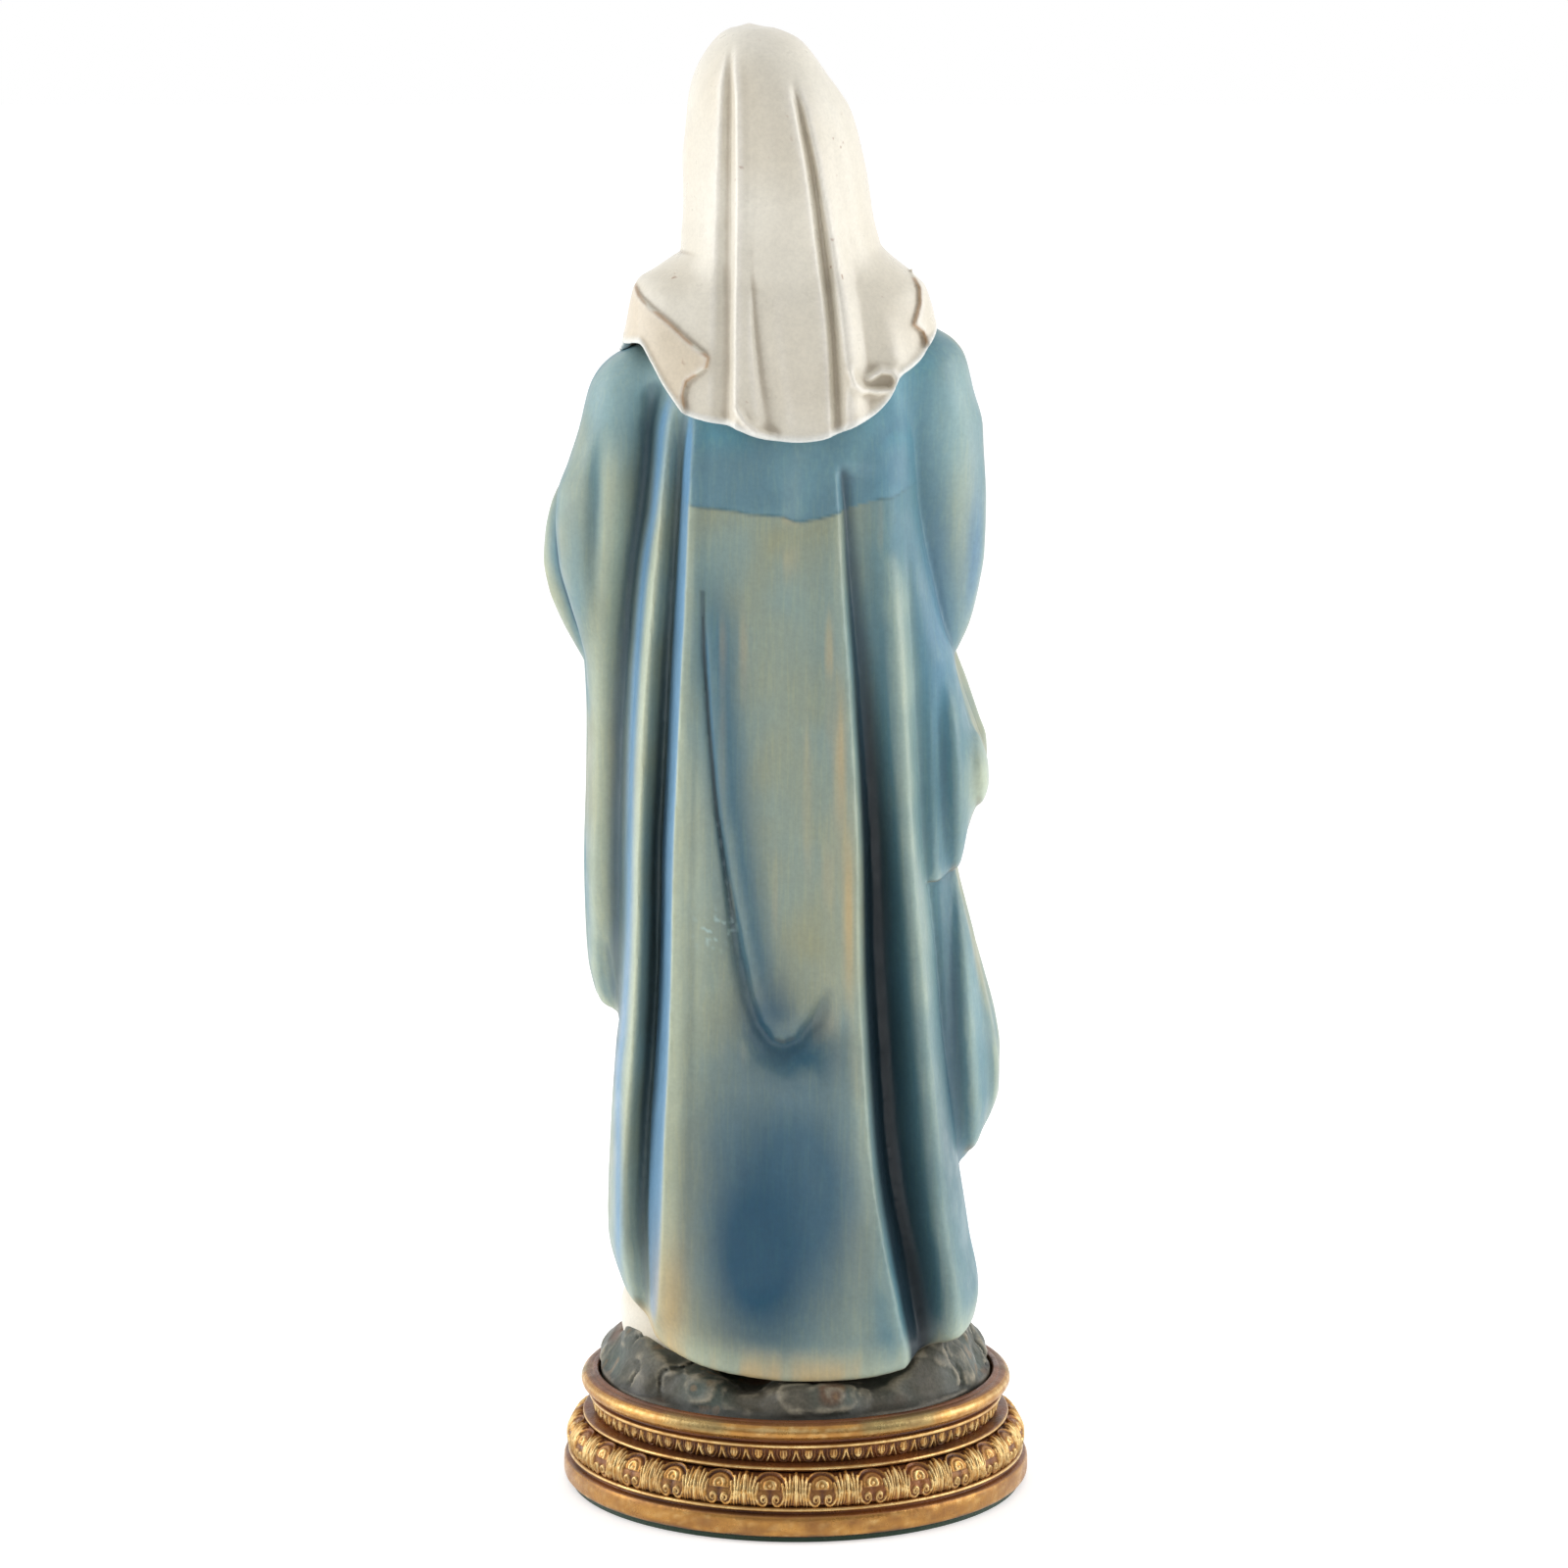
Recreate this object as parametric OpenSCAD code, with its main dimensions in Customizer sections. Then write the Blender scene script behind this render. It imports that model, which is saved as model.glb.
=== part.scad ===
// Painted resin statue of a veiled standing woman with joined hands, on a gilded round plinth.
// Figure faces -Y, its left hand is towards +X, and the felt pad rests on z = 0.
// Lengths are millimetres at the 300 mm size, and scale_k resizes the whole statue.

/* [Overall] */
// Height of the statue, from the table to the top of the veil
total_h = 300; // [200:10:400]
// Number of facets along a round stretch of a draped piece
drape_steps = 56; // [40:4:72]

/* [Plinth] */
// Radius of the bottom band of the plinth
plinth_r = 48.3; // [48:0.1:50]
// Thickness of the felt pad glued under the plinth
felt_t = 1; // [0.6:0.1:2]
// Number of acanthus leaves on the wide band
leaf_count = 28; // [20:1:32]
// Number of eggs on the narrow band
egg_count = 52; // [40:1:56]

/* [Figure] */
// Thickness of the cast cloak
cloak_t = 4; // [3:0.5:5]
// Thickness of the cast veil
veil_t = 2.5; // [2:0.25:3]
// Gap filled with glue between two castings
glue_gap = 0.2; // [0.1:0.05:0.3]

/* [Fixings] */
// Radius of the shank of the screw that holds the figure on the plinth
screw_r = 2; // [1.5:0.25:2.5]
// Length of that screw under its head
screw_len = 42; // [36:1:50]
// Radius of the dowel in the neck
dowel_r = 2.5; // [2:0.25:3]
// Radius of the wire pins in the wrists
pin_r = 0.8; // [0.6:0.1:1]

/* [Hidden] */
scale_k = total_h / 300;

plinth_top = 23.6;
recess_r = 41;
recess_z = 18;
band_low = 7.2;
band_high = 13.4;
egg_low = 14.9;
egg_high = 18;
egg_wall_r = 42;
washer_t = 1;
washer_r = 6;
head_h = 2.6;
pocket_r = 8;
pocket_h = 6;
rock_top = 28;
screw_seat = felt_t + pocket_h - washer_t;
screw_top = screw_seat + screw_len;
screw_clear = 0.3;
pin_clear = 0.03;
// Depth between the outside of the cloak and its cast wall, which the folds use.
fold_room = 3.4;
// Directions of the two front edges of the cloak and the veil, where 90 degrees is the middle of the back.
edge_left = -44;
edge_right = 224;
neck_x = 5;
neck_y = -2;
neck_z = 246;
dowel_low = neck_z - 13;
dowel_len = 24;
palm_z = 214;
wrist_z = 203;
hand_x = 2;
hand_y = -36;

// Outline of the draped figure: distance left and right of x = 0, and behind y = 0, at each height.
left_side = [[28, 30], [38, 31.5], [45, 35.7], [60, 38.6], [80, 37.6], [94, 37], [104, 41.6], [120, 43],
             [150, 42.4], [167, 42.2], [174, 46], [182, 49.8], [192, 51.6], [203, 50], [212, 46],
             [220, 43.4], [228, 41.4], [233, 39.4], [238, 34]];
right_side = [[28, 31], [35, 35.6], [41, 37.5], [56, 35], [66, 33.4], [73, 38], [82, 41.8], [90, 41.8],
              [104, 39], [118, 35.2], [130, 32.6], [138, 36.4], [146, 39.3], [158, 36.4], [172, 32.3],
              [182, 36], [194, 38.2], [206, 38.4], [220, 37.4], [228, 35.5], [235, 33.5], [240, 28]];
back_side = [[28, 35], [50, 33.5], [80, 31.5], [110, 30], [150, 28.5], [190, 27], [210, 25.5],
             [222, 23.5], [232, 20.5], [240, 16]];
// How far the gown comes forward of y = 0.
front_side = [[28, 33], [40, 30], [60, 26.5], [100, 23.5], [150, 21], [185, 18.5], [205, 21.5],
              [220, 20], [232, 15], [240, 9]];
// Lower and upper edge of the cloak by direction, where 90 degrees is the middle of the back.
hem_edge = [[-50, 96], [-20, 100], [4, 94], [16, 46], [40, 34], [90, 29.5], [125, 31.5], [150, 36],
            [164, 60], [180, 68], [230, 92]];
neck_edge = [[-50, 222], [0, 236], [27, 236], [55, 226], [90, 219.5], [118, 225], [136, 236], [180, 238],
             [230, 222]];
// Main vertical folds of the back, as [x at the hem, x at the top, depth, half width].
folds = [[32, 24, 2.4, 5], [-21, -9, 2.8, 5], [-34, -24, 2.2, 5]];
// Outline of the veil around the head, as above, about its own middle.
veil_half = [[219, 20], [250, 18.5], [262, 17.2], [276, 17.2], [284, 15.8], [290, 13], [295, 9], [300, 2.4]];
veil_back = [[219, 28], [235, 24.5], [250, 22.5], [262, 22], [276, 21], [284, 18.5], [290, 15], [295, 10.5],
             [300, 2.4]];
veil_front = [[219, 19], [240, 15], [262, 18], [276, 18.5], [284, 16.5], [290, 13.5], [295, 9], [300, 2.4]];
// The head, as [height, half width, front, back].
skull = [[247, 5.4, 4.4, 6], [254, 5.6, 5, 6.4], [257, 7, 12, 8], [260, 9.4, 14.6, 10], [266, 11.6, 15.4, 13],
         [274, 13, 15.6, 14.6], [282, 12.6, 14.6, 13.6], [288, 10.4, 11.5, 11], [293, 6.5, 7, 7]];

function ease(t) = t * t * (3 - 2 * t);
function bump(t) = abs(t) >= 1 ? 0 : ease(1 - abs(t));

// Depth that the folds of the back take away at a place, fading in below the shoulders.
function fold_depth(x, z) = let(t = min(1, max(0, (218 - z) / 70)), up = (z - 30) / 190)
    t * max([for (f = folds) f[2] * bump((x - f[0] - (f[1] - f[0]) * up) / f[3])]);

// A point of the draped outline, set back from the surface by inset.
function drape_point(a, z, inset, folded) = let(
    side = (cos(a) > 0 ? lookup(z, left_side) : lookup(z, right_side)) - inset,
    deep = (sin(a) > 0 ? lookup(z, back_side) : lookup(z, front_side)) - inset,
    x = side * sign(cos(a)) * pow(abs(cos(a)), 0.9),
    y = deep * sign(sin(a)) * pow(abs(sin(a)), 0.9))
    [x, y - (folded && y > 0 ? fold_depth(x, z) * sin(a) : 0), z];

// Joins rings of equal length, each at one height, into a closed solid.
module skin(rings) {
    n = len(rings[0]);
    m = len(rings);
    sides = [for (i = [0 : m - 2], j = [0 : n - 1])
        let(a = i * n + j, b = i * n + (j + 1) % n) each [[a, a + n, b + n], [a, b + n, b]]];
    polyhedron(points = [for (r = rings) each r],
        faces = concat(sides, [[for (j = [0 : n - 1]) j]], [[for (j = [n - 1 : -1 : 0]) (m - 1) * n + j]]));
}

// A closed sheet between an outer and an inner grid of points of the same size.
module thick_sheet(outer, inner) {
    m = len(outer);
    n = len(outer[0]);
    k = m * n;
    cells = [for (i = [0 : m - 2], j = [0 : n - 2]) i * n + j];
    outside = [for (a = cells) each [[a, a + n, a + n + 1], [a, a + n + 1, a + 1]]];
    inside = [for (a = cells) each [[k + a, k + a + n + 1, k + a + n], [k + a, k + a + 1, k + a + n + 1]]];
    low = [for (j = [0 : n - 2]) each [[j, j + 1, k + j + 1], [j, k + j + 1, k + j]]];
    high = [for (j = [0 : n - 2]) let(a = (m - 1) * n + j)
        each [[a, k + a + 1, a + 1], [a, k + a, k + a + 1]]];
    first = [for (i = [0 : m - 2]) let(a = i * n) each [[a, k + a, k + a + n], [a, k + a + n, a + n]]];
    last = [for (i = [0 : m - 2]) let(a = i * n + n - 1)
        each [[a, k + a + n, k + a], [a, a + n, k + a + n]]];
    polyhedron(points = concat([for (r = outer) each r], [for (r = inner) each r]),
        faces = concat(outside, inside, low, high, first, last));
}

// A tube of round sections along a list of [x, y, z, radius].
module limb(path, sides = 20) {
    m = len(path);
    function way(i) = let(d = [for (c = [0 : 2]) path[min(i + 1, m - 1)][c] - path[max(i - 1, 0)][c]]) d / norm(d);
    rings = [for (i = [0 : m - 1]) let(
        w = way(i), u = cross([0, 1, 0.2], w) / norm(cross([0, 1, 0.2], w)), v = cross(w, u))
        [for (j = [0 : sides - 1]) [for (c = [0 : 2])
            path[i][c] + path[i][3] * (cos(360 * j / sides) * u[c] + sin(360 * j / sides) * v[c])]]];
    skin(rings);
}

module felt_pad() {
    color("darkolivegreen") difference() {
        cylinder(r = plinth_r - 1.5, h = felt_t, $fn = 96);
        translate([0, 0, -1]) cylinder(r = 2, h = felt_t + 2, $fn = 32);
    }
}

module plinth() {
    profile = [[0, felt_t], [plinth_r - 0.5, felt_t], [plinth_r, felt_t + 0.6], [plinth_r, 5.4], [plinth_r - 0.4, 5.8],
               [plinth_r - 1.6, 5.9], [plinth_r - 1.6, 6.2], [plinth_r - 0.9, 6.6], [plinth_r - 1.2, band_low],
               [plinth_r - 4.2, band_low], [plinth_r - 5.8, band_high], [44.4, band_high], [44.6, 14.2],
               [44.2, egg_low], [egg_wall_r - 1.4, egg_low], [egg_wall_r - 1.4, egg_high], [43, egg_high],
               [43, 19], [42.6, 19.4], [42.6, 19.8], [43.8, 20.4], [44.4, 21.6], [43.8, 22.9], [42.6, 23.4],
               [recess_r + 0.6, plinth_top], [recess_r, plinth_top], [recess_r, recess_z], [0, recess_z]];
    color("goldenrod") difference() {
        rotate_extrude($fn = 96) polygon(profile);
        translate([0, 0, felt_t - 1]) cylinder(r = pocket_r, h = pocket_h + 1, $fn = 48);
        cylinder(r = screw_r + screw_clear, h = plinth_top, $fn = 32);
    }
}

// The wide gilded ring: a rounded band with one raised leaf for each repeat.
module leaf_band() {
    band = [[plinth_r - 4, band_low], [plinth_r - 1.9, band_low], [plinth_r - 1.6, 8.6], [plinth_r - 1.9, 10.4],
            [plinth_r - 2.8, 12.2], [plinth_r - 4.2, band_high], [plinth_r - 5.6, band_high]];
    color("gold") union() {
        rotate_extrude($fn = 96) polygon(band);
        for (i = [0 : leaf_count - 1]) rotate([0, 0, 360 * i / leaf_count])
            translate([plinth_r - 2.9, 0, 8]) cylinder(r = 1.9, h = 3.6, $fn = 24);
    }
}

// The narrow gilded ring: a flat wall with one egg for each repeat.
module egg_band() {
    color("gold") union() {
        translate([0, 0, egg_low]) difference() {
            cylinder(r = egg_wall_r, h = egg_high - egg_low, $fn = 96);
            translate([0, 0, -1]) cylinder(r = egg_wall_r - 1.4, h = 6, $fn = 96);
        }
        for (i = [0 : egg_count - 1]) rotate([0, 0, 360 * i / egg_count])
            translate([egg_wall_r - 0.2, 0, (egg_low + egg_high) / 2]) sphere(r = 1, $fn = 24);
    }
}

// Rough ground under the feet, let into the top of the plinth.
module rock_mound() {
    levels = [[recess_z, 0.985], [23, 1], [25.5, 0.985], [rock_top, 0.93]];
    color("dimgray") difference() {
        skin([for (l = levels) [for (j = [0 : 47]) let(
            a = 7.5 * j,
            r = (recess_r - 0.8) * l[1] * (l[0] > 23 ? 1 + 0.015 * sin(5 * a) + 0.012 * cos(9 * a) : 1))
            [r * cos(a), r * sin(a), l[0]]]]);
        cylinder(r = screw_r + screw_clear, h = 2 * rock_top, $fn = 32);
    }
}

module fixing_screw() {
    color("silver") translate([0, 0, screw_seat - head_h]) union() {
        cylinder(r = 2 * screw_r, h = head_h, $fn = 32);
        cylinder(r = screw_r, h = head_h + screw_len, $fn = 32);
    }
}

module screw_washer() {
    color("silver") translate([0, 0, screw_seat]) difference() {
        cylinder(r = washer_r, h = washer_t, $fn = 48);
        translate([0, 0, -1]) cylinder(r = screw_r + screw_clear, h = washer_t + 2, $fn = 32);
    }
}

// The gown and the body in it, set back where the cloak and the veil lie on it.
module dress() {
    heights = [rock_top + glue_gap, 35, 41, 45, 56, 66, 73, 82, 94, 104, 118, 130, 138, 146, 158, 167, 172,
               182, 192, 203, 212, 220, 228, 233, 237];
    blend = 24;
    rings = [for (z = heights) [for (j = [0 : drape_steps - 1]) let(
        a = 360 * j / drape_steps,
        past = min(a - edge_right, 360 + edge_left - a) - 3,
        t = ease(min(1, max(0, past / blend))),
        p = drape_point(a, z, cloak_t + fold_room + 2 * glue_gap, false),
        q = drape_point(a, z, 1, false))
        p * (1 - t) + q * t]];
    collar = [for (j = [0 : drape_steps - 1]) let(a = 360 * j / drape_steps)
        [neck_x + 9 * cos(a), neck_y + 8 * sin(a), neck_z - glue_gap]];
    color("ivory") difference() {
        skin(concat(rings, [collar]));
        translate([0, 0, 20]) cylinder(r = screw_r, h = screw_top - 19, $fn = 32);
        translate([neck_x, neck_y, dowel_low - 1]) cylinder(r = dowel_r, h = dowel_len, $fn = 32);
    }
}

// The mantle, a thick sheet from one front edge round the back to the other.
module cloak() {
    rows = 26;
    function place(i, j, inset) = let(
        a = edge_left + (edge_right - edge_left) * j / drape_steps,
        low = lookup(a, hem_edge), high = lookup(a, neck_edge))
        drape_point(a, low + (high - low) * i / rows, inset, inset == 0);
    color("steelblue") thick_sheet(
        [for (i = [0 : rows]) [for (j = [0 : drape_steps]) place(i, j, 0)]],
        [for (i = [0 : rows]) [for (j = [0 : drape_steps]) place(i, j, cloak_t + fold_room)]]);
}

// A point of the veil: a hood round the head that spreads over the shoulders.
function veil_point(a, z, inset) = let(
    over = ease(min(1, max(0, (252 - z) / 16))),
    hood = [neck_x + (lookup(z, veil_half) - inset) * cos(a),
            neck_y + (lookup(z, sin(a) > 0 ? veil_back : veil_front) - inset) * sin(a), z],
    cape = drape_point(a, min(z, 240), inset + (z > 240 ? (z - 240) * 1.2 : 0), false))
    [hood[0] * (1 - over) + cape[0] * over, hood[1] * (1 - over) + cape[1] * over, z];

module veil() {
    rows = 24;
    function place(i, j, inset) = let(
        a = edge_left + (edge_right - edge_left) * j / drape_steps,
        low = lookup(a, neck_edge) + glue_gap, high = 286 - inset / 2)
        veil_point(a, low + (high - low) * pow(i / rows, 0.85), inset);
    function crown(z, inset) = [for (j = [0 : 39]) veil_point(9 * j, z, inset)];
    color("seashell") union() {
        thick_sheet([for (i = [0 : rows]) [for (j = [0 : drape_steps]) place(i, j, 0)]],
            [for (i = [0 : rows]) [for (j = [0 : drape_steps]) place(i, j, veil_t)]]);
        difference() {
            skin([for (z = [283.5, 287, 290, 293, 295.5, 298, 300]) crown(z, 0)]);
            skin([for (z = [283, 287, 290, 293, 295]) crown(z, veil_t)]);
        }
    }
}

module head() {
    color("peachpuff") difference() {
        skin([for (s = skull) [for (j = [0 : 35]) let(a = 10 * j)
            [neck_x + s[1] * cos(a), neck_y + (sin(a) > 0 ? s[3] : s[2]) * sin(a), s[0]]]]);
        translate([neck_x, neck_y, dowel_low]) cylinder(r = dowel_r, h = dowel_len + 1, $fn = 32);
    }
}

module neck_dowel() {
    color("silver") translate([neck_x, neck_y, dowel_low])
        cylinder(r = dowel_r - pin_clear, h = dowel_len, $fn = 32);
}

// One forearm in its sleeve, from the edge of the cloak to the wrist. side is 1 on the figure's left.
module sleeve(side) {
    color("ivory") difference() {
        limb([[hand_x + side * 31, -20.5, 191.5, 5.6], [hand_x + side * 20, -27, 193, 7.4],
              [hand_x + side * 12, -31.5, 197, 6.6], [hand_x + side * 6.4, hand_y + 1.5, wrist_z - 2, 5]]);
        wrist_pin_shape(side, pin_r);
    }
}

// One flat hand of a joined pair, pointing up and forward.
module hand(side) {
    color("peachpuff") difference() {
        limb([[hand_x + side * 3.6, hand_y, wrist_z + 0.6, 2.6], [hand_x + side * 3.4, hand_y - 1, palm_z - 6, 3],
              [hand_x + side * 3.2, hand_y - 2.5, palm_z, 3], [hand_x + side * 2.6, hand_y - 4.5, palm_z + 8, 2.1],
              [hand_x + side * 1.8, hand_y - 6, palm_z + 15, 1.2]]);
        wrist_pin_shape(side, pin_r);
    }
}

module wrist_pin_shape(side, r) {
    translate([hand_x + side * 4, hand_y + 0.3, wrist_z - 3]) cylinder(r = r, h = 8, $fn = 24);
}

module wrist_pin(side) {
    color("silver") wrist_pin_shape(side, pin_r - pin_clear);
}

scale(scale_k) felt_pad();
scale(scale_k) plinth();
scale(scale_k) leaf_band();
scale(scale_k) egg_band();
scale(scale_k) rock_mound();
scale(scale_k) fixing_screw();
scale(scale_k) screw_washer();
scale(scale_k) dress();
scale(scale_k) cloak();
scale(scale_k) veil();
scale(scale_k) head();
scale(scale_k) neck_dowel();
scale(scale_k) sleeve(1);  // left_sleeve
scale(scale_k) sleeve(-1);  // right_sleeve
scale(scale_k) hand(1);  // left_hand
scale(scale_k) hand(-1);  // right_hand
scale(scale_k) wrist_pin(1);  // left_wrist_pin
scale(scale_k) wrist_pin(-1);  // right_wrist_pin
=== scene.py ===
"""Looks of the madonna statue: draped figure, carved base, paint and wear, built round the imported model.

Forms are sculpted as distance fields in blocks of space, then turned into meshes. All sizes below are in
millimetres on a statue 300 mm high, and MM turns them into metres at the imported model's own height.
"""
import math
from concurrent.futures import ThreadPoolExecutor
from functools import partial

import bpy
import numpy as np
import openvdb
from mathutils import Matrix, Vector


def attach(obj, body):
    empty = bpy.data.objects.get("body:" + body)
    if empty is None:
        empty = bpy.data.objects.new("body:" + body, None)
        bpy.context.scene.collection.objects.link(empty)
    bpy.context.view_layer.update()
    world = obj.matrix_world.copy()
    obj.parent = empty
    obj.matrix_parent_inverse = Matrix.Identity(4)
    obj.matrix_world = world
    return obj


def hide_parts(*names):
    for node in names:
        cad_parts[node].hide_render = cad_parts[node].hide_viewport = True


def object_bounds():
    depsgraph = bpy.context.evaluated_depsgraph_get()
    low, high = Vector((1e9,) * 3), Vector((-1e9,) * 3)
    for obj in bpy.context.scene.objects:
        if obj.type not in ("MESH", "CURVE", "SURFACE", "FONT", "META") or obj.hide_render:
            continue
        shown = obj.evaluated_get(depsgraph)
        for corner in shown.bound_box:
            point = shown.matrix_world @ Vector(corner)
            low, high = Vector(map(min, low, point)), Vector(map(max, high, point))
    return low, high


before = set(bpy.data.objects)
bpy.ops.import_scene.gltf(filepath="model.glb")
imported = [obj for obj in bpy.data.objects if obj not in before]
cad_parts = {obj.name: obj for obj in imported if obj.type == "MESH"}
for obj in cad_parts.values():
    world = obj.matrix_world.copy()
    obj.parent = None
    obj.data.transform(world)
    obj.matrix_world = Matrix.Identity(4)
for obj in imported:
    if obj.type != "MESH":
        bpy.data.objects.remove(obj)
cad_low, cad_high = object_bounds()
MM = (cad_high[2] - cad_low[2]) / 300

# ---------------------------------------------------------------- numbers


def ease(t):
    """0 below 0, 1 above 1, and smooth between."""
    t = np.clip(t, 0, 1)
    return t * t * (3 - 2 * t)


def fade(v, start, end):
    """Rises smoothly from 0 at start to 1 at end."""
    return ease((v - start) / (end - start))


def profile(points, v):
    """Smooth curve through (place, value) points, flat beyond both ends and with no overshoot."""
    at, value = np.array(sorted(points), float).T
    step, rise = np.diff(at), np.diff(value)
    slope = rise / step
    tangent = np.zeros(len(at))
    same = slope[:-1] * slope[1:] > 0
    mean = 2 * slope[:-1] * slope[1:] / np.where(same, slope[:-1] + slope[1:], 1)
    tangent[1:-1] = np.where(same, mean, 0)
    v = np.clip(v, at[0], at[-1])
    i = np.clip(np.searchsorted(at, v, side="right") - 1, 0, len(step) - 1)
    t = (v - at[i]) / step[i]
    near = value[i] + rise[i] * t * t * (3 - 2 * t)
    curve = near + step[i] * t * (1 - t) * ((1 - t) * tangent[i] - t * tangent[i + 1])
    return curve.astype(np.float32)


def hashed(cells, seed):
    """A repeatable number from 0 to 1 for each whole-numbered cell."""
    mixed = np.sin(cells[0] * 12.9898 + cells[1] * 78.233 + cells[2] * 37.719 + seed * 17.17) * 43758.5453
    return mixed - np.floor(mixed)


def noise(x, y, z, size, seed=0):
    """Smooth noise from -1 to 1 with features of the given size."""
    place = [np.asarray(v, np.float64) / size for v in (x, y, z)]
    cell = [np.floor(v) for v in place]
    part = [ease(v - c) for v, c in zip(place, cell)]
    total = 0
    for i in (0, 1):
        for j in (0, 1):
            for k in (0, 1):
                weight = 1
                for side, t in zip((i, j, k), part):
                    weight = weight * (t if side else 1 - t)
                total = total + weight * hashed([cell[0] + i, cell[1] + j, cell[2] + k], seed)
    return (2 * total - 1).astype(np.float32)


# ---------------------------------------------------------------- sculpting


class Block:
    """A block of space cut into cubes of one size, with the places of their corners."""

    def __init__(self, low, high, step):
        self.low, self.step = low, step
        axes = [np.arange(a, b + step, step, dtype=np.float32) for a, b in zip(low, high)]
        self.x, self.y, self.z = np.ix_(*axes)
        self.shape = tuple(len(a) for a in axes)

    def empty(self):
        return np.full(self.shape, 50, np.float32)

    def within(self, low, high):
        """The slices of the block between two corners, and the places there."""
        cut = tuple(
            slice(max(0, int((a - o) / self.step)), max(1, int((b - o) / self.step) + 2))
            for a, b, o in zip(low, high, self.low)
        )
        return cut, self.x[cut[0]], self.y[:, cut[1]], self.z[:, :, cut[2]]


def join(a, b, r=1.0):
    """Both solids together, with the crease between them filled over a width of about r."""
    h = np.maximum(r - np.abs(a - b), 0)
    return np.minimum(a, b) - h * h / (4 * r)


def overlap(a, b, r=1.0):
    """Where both solids are, with the edge between them rounded."""
    return -join(-a, -b, r)


def carve(a, b, r=1.0):
    """The first solid without the second."""
    return overlap(a, -b, r)


def loft(x, y, z, middle, left, right, back, front, power=2.4):
    """A solid of oval slices. Each size is a number or (height, value) points, measured from the middle."""
    def at(size):
        return size if np.isscalar(size) else profile(size, z)
    dx, dy = x - at(middle[0]), y - at(middle[1])
    rx = np.where(dx > 0, at(left), at(right))
    ry = np.where(dy > 0, at(back), at(front))
    u, v = np.abs(dx) / rx, np.abs(dy) / ry
    g = np.maximum((u**power + v**power) ** (1 / power), 1e-3)
    steep = np.sqrt(((u / g) ** (power - 1) / rx) ** 2 + ((v / g) ** (power - 1) / ry) ** 2)
    return ((g - 1) / np.maximum(steep, 1e-3)).astype(np.float32)


def capsule(x, y, z, a, b):
    """A round bar from (x, y, z, radius) a to b."""
    d = [q - p for p, q in zip(a[:3], b[:3])]
    t = ((x - a[0]) * d[0] + (y - a[1]) * d[1] + (z - a[2]) * d[2]) / sum(c * c for c in d)
    t = np.clip(t, 0, 1)
    gap = (x - a[0] - d[0] * t) ** 2 + (y - a[1] - d[1] * t) ** 2 + (z - a[2] - d[2] * t) ** 2
    return np.sqrt(gap) - (a[3] + (b[3] - a[3]) * t)


def limb(block, field, path, r=1.0):
    """Adds a bar through (x, y, z, radius) points to a field, blending over r."""
    for a, b in zip(path, path[1:]):
        reach = max(a[3], b[3]) + r + 2
        low = [min(p, q) - reach for p, q in zip(a[:3], b[:3])]
        high = [max(p, q) + reach for p, q in zip(a[:3], b[:3])]
        cut, x, y, z = block.within(low, high)
        field[cut] = join(field[cut], capsule(x, y, z, a, b), r)
    return field


def ball(x, y, z, middle, radii):
    """An egg of three radii."""
    u = [(p - c) / r for p, c, r in zip((x, y, z), middle, radii)]
    g = np.sqrt(u[0] ** 2 + u[1] ** 2 + u[2] ** 2)
    steep = np.sqrt((u[0] / radii[0]) ** 2 + (u[1] / radii[1]) ** 2 + (u[2] / radii[2]) ** 2)
    return g * (g - 1) / np.maximum(steep, 1e-3)


def stroke(x, z, points):
    """Distance to a line of (x, z) points in the plane, the share of its length, and the side of it."""
    points = np.array(points, np.float32)
    lengths = np.hypot(*np.diff(points, axis=0).T)
    best = np.full(np.broadcast(x, z).shape, 1e3, np.float32)
    share, side = np.zeros_like(best), np.ones_like(best)
    done = 0
    for (ax, az), (bx, bz), size in zip(points, points[1:], lengths):
        dx, dz = bx - ax, bz - az
        t = np.clip(((x - ax) * dx + (z - az) * dz) / (size * size), 0, 1)
        gap = np.hypot(x - ax - dx * t, z - az - dz * t)
        nearer = gap < best
        best = np.where(nearer, gap, best)
        share = np.where(nearer, (done + t * size) / lengths.sum(), share)
        side = np.where(nearer, np.sign(dx * (z - az) - dz * (x - ax)), side)
        done += size
    return best, share, side


def inside(x, z, corners):
    """Distance to the edge of a many-sided area, positive inside."""
    closed = list(corners) + [corners[0]]
    gap = stroke(x, z, closed)[0]
    odd = np.zeros(gap.shape, bool)
    for (ax, az), (bx, bz) in zip(closed, closed[1:]):
        spans = (az > z) != (bz > z)
        odd ^= spans & (x < ax + (bx - ax) * (z - az) / (bz - az if bz != az else 1))
    return np.where(odd, gap, -gap)


def folds(x, z, lines):
    """Height of a pleated cloth: smooth from each fold line to the next, from left to right.

    A line is [(height up the statue, x, relief)...], with how sharp it is on each side from 0 to 1.
    """
    flat_z = z.reshape(-1)
    xs = [profile([(p[0], p[1]) for p in line["at"]], flat_z) for line in lines]
    hs = [profile([(p[0], p[2]) for p in line["at"]], flat_z) for line in lines]
    result = np.zeros(np.broadcast(x, z).shape, np.float32)
    for k in range(len(lines) - 1):
        a, b = xs[k].reshape(z.shape), np.minimum(xs[k + 1], xs[k] - 0.4).reshape(z.shape)
        t = (a - x) / (a - b)
        m0, m1 = lines[k].get("right", 0), lines[k + 1].get("left", 0)
        s = t * t * (3 - 2 * t) + m0 * t * (1 - t) ** 2 - m1 * t * t * (t - 1)
        level = hs[k].reshape(z.shape) + (hs[k + 1] - hs[k]).reshape(z.shape) * s
        result = np.where((t >= 0) & (t < 1), level, result)
    return result


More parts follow.
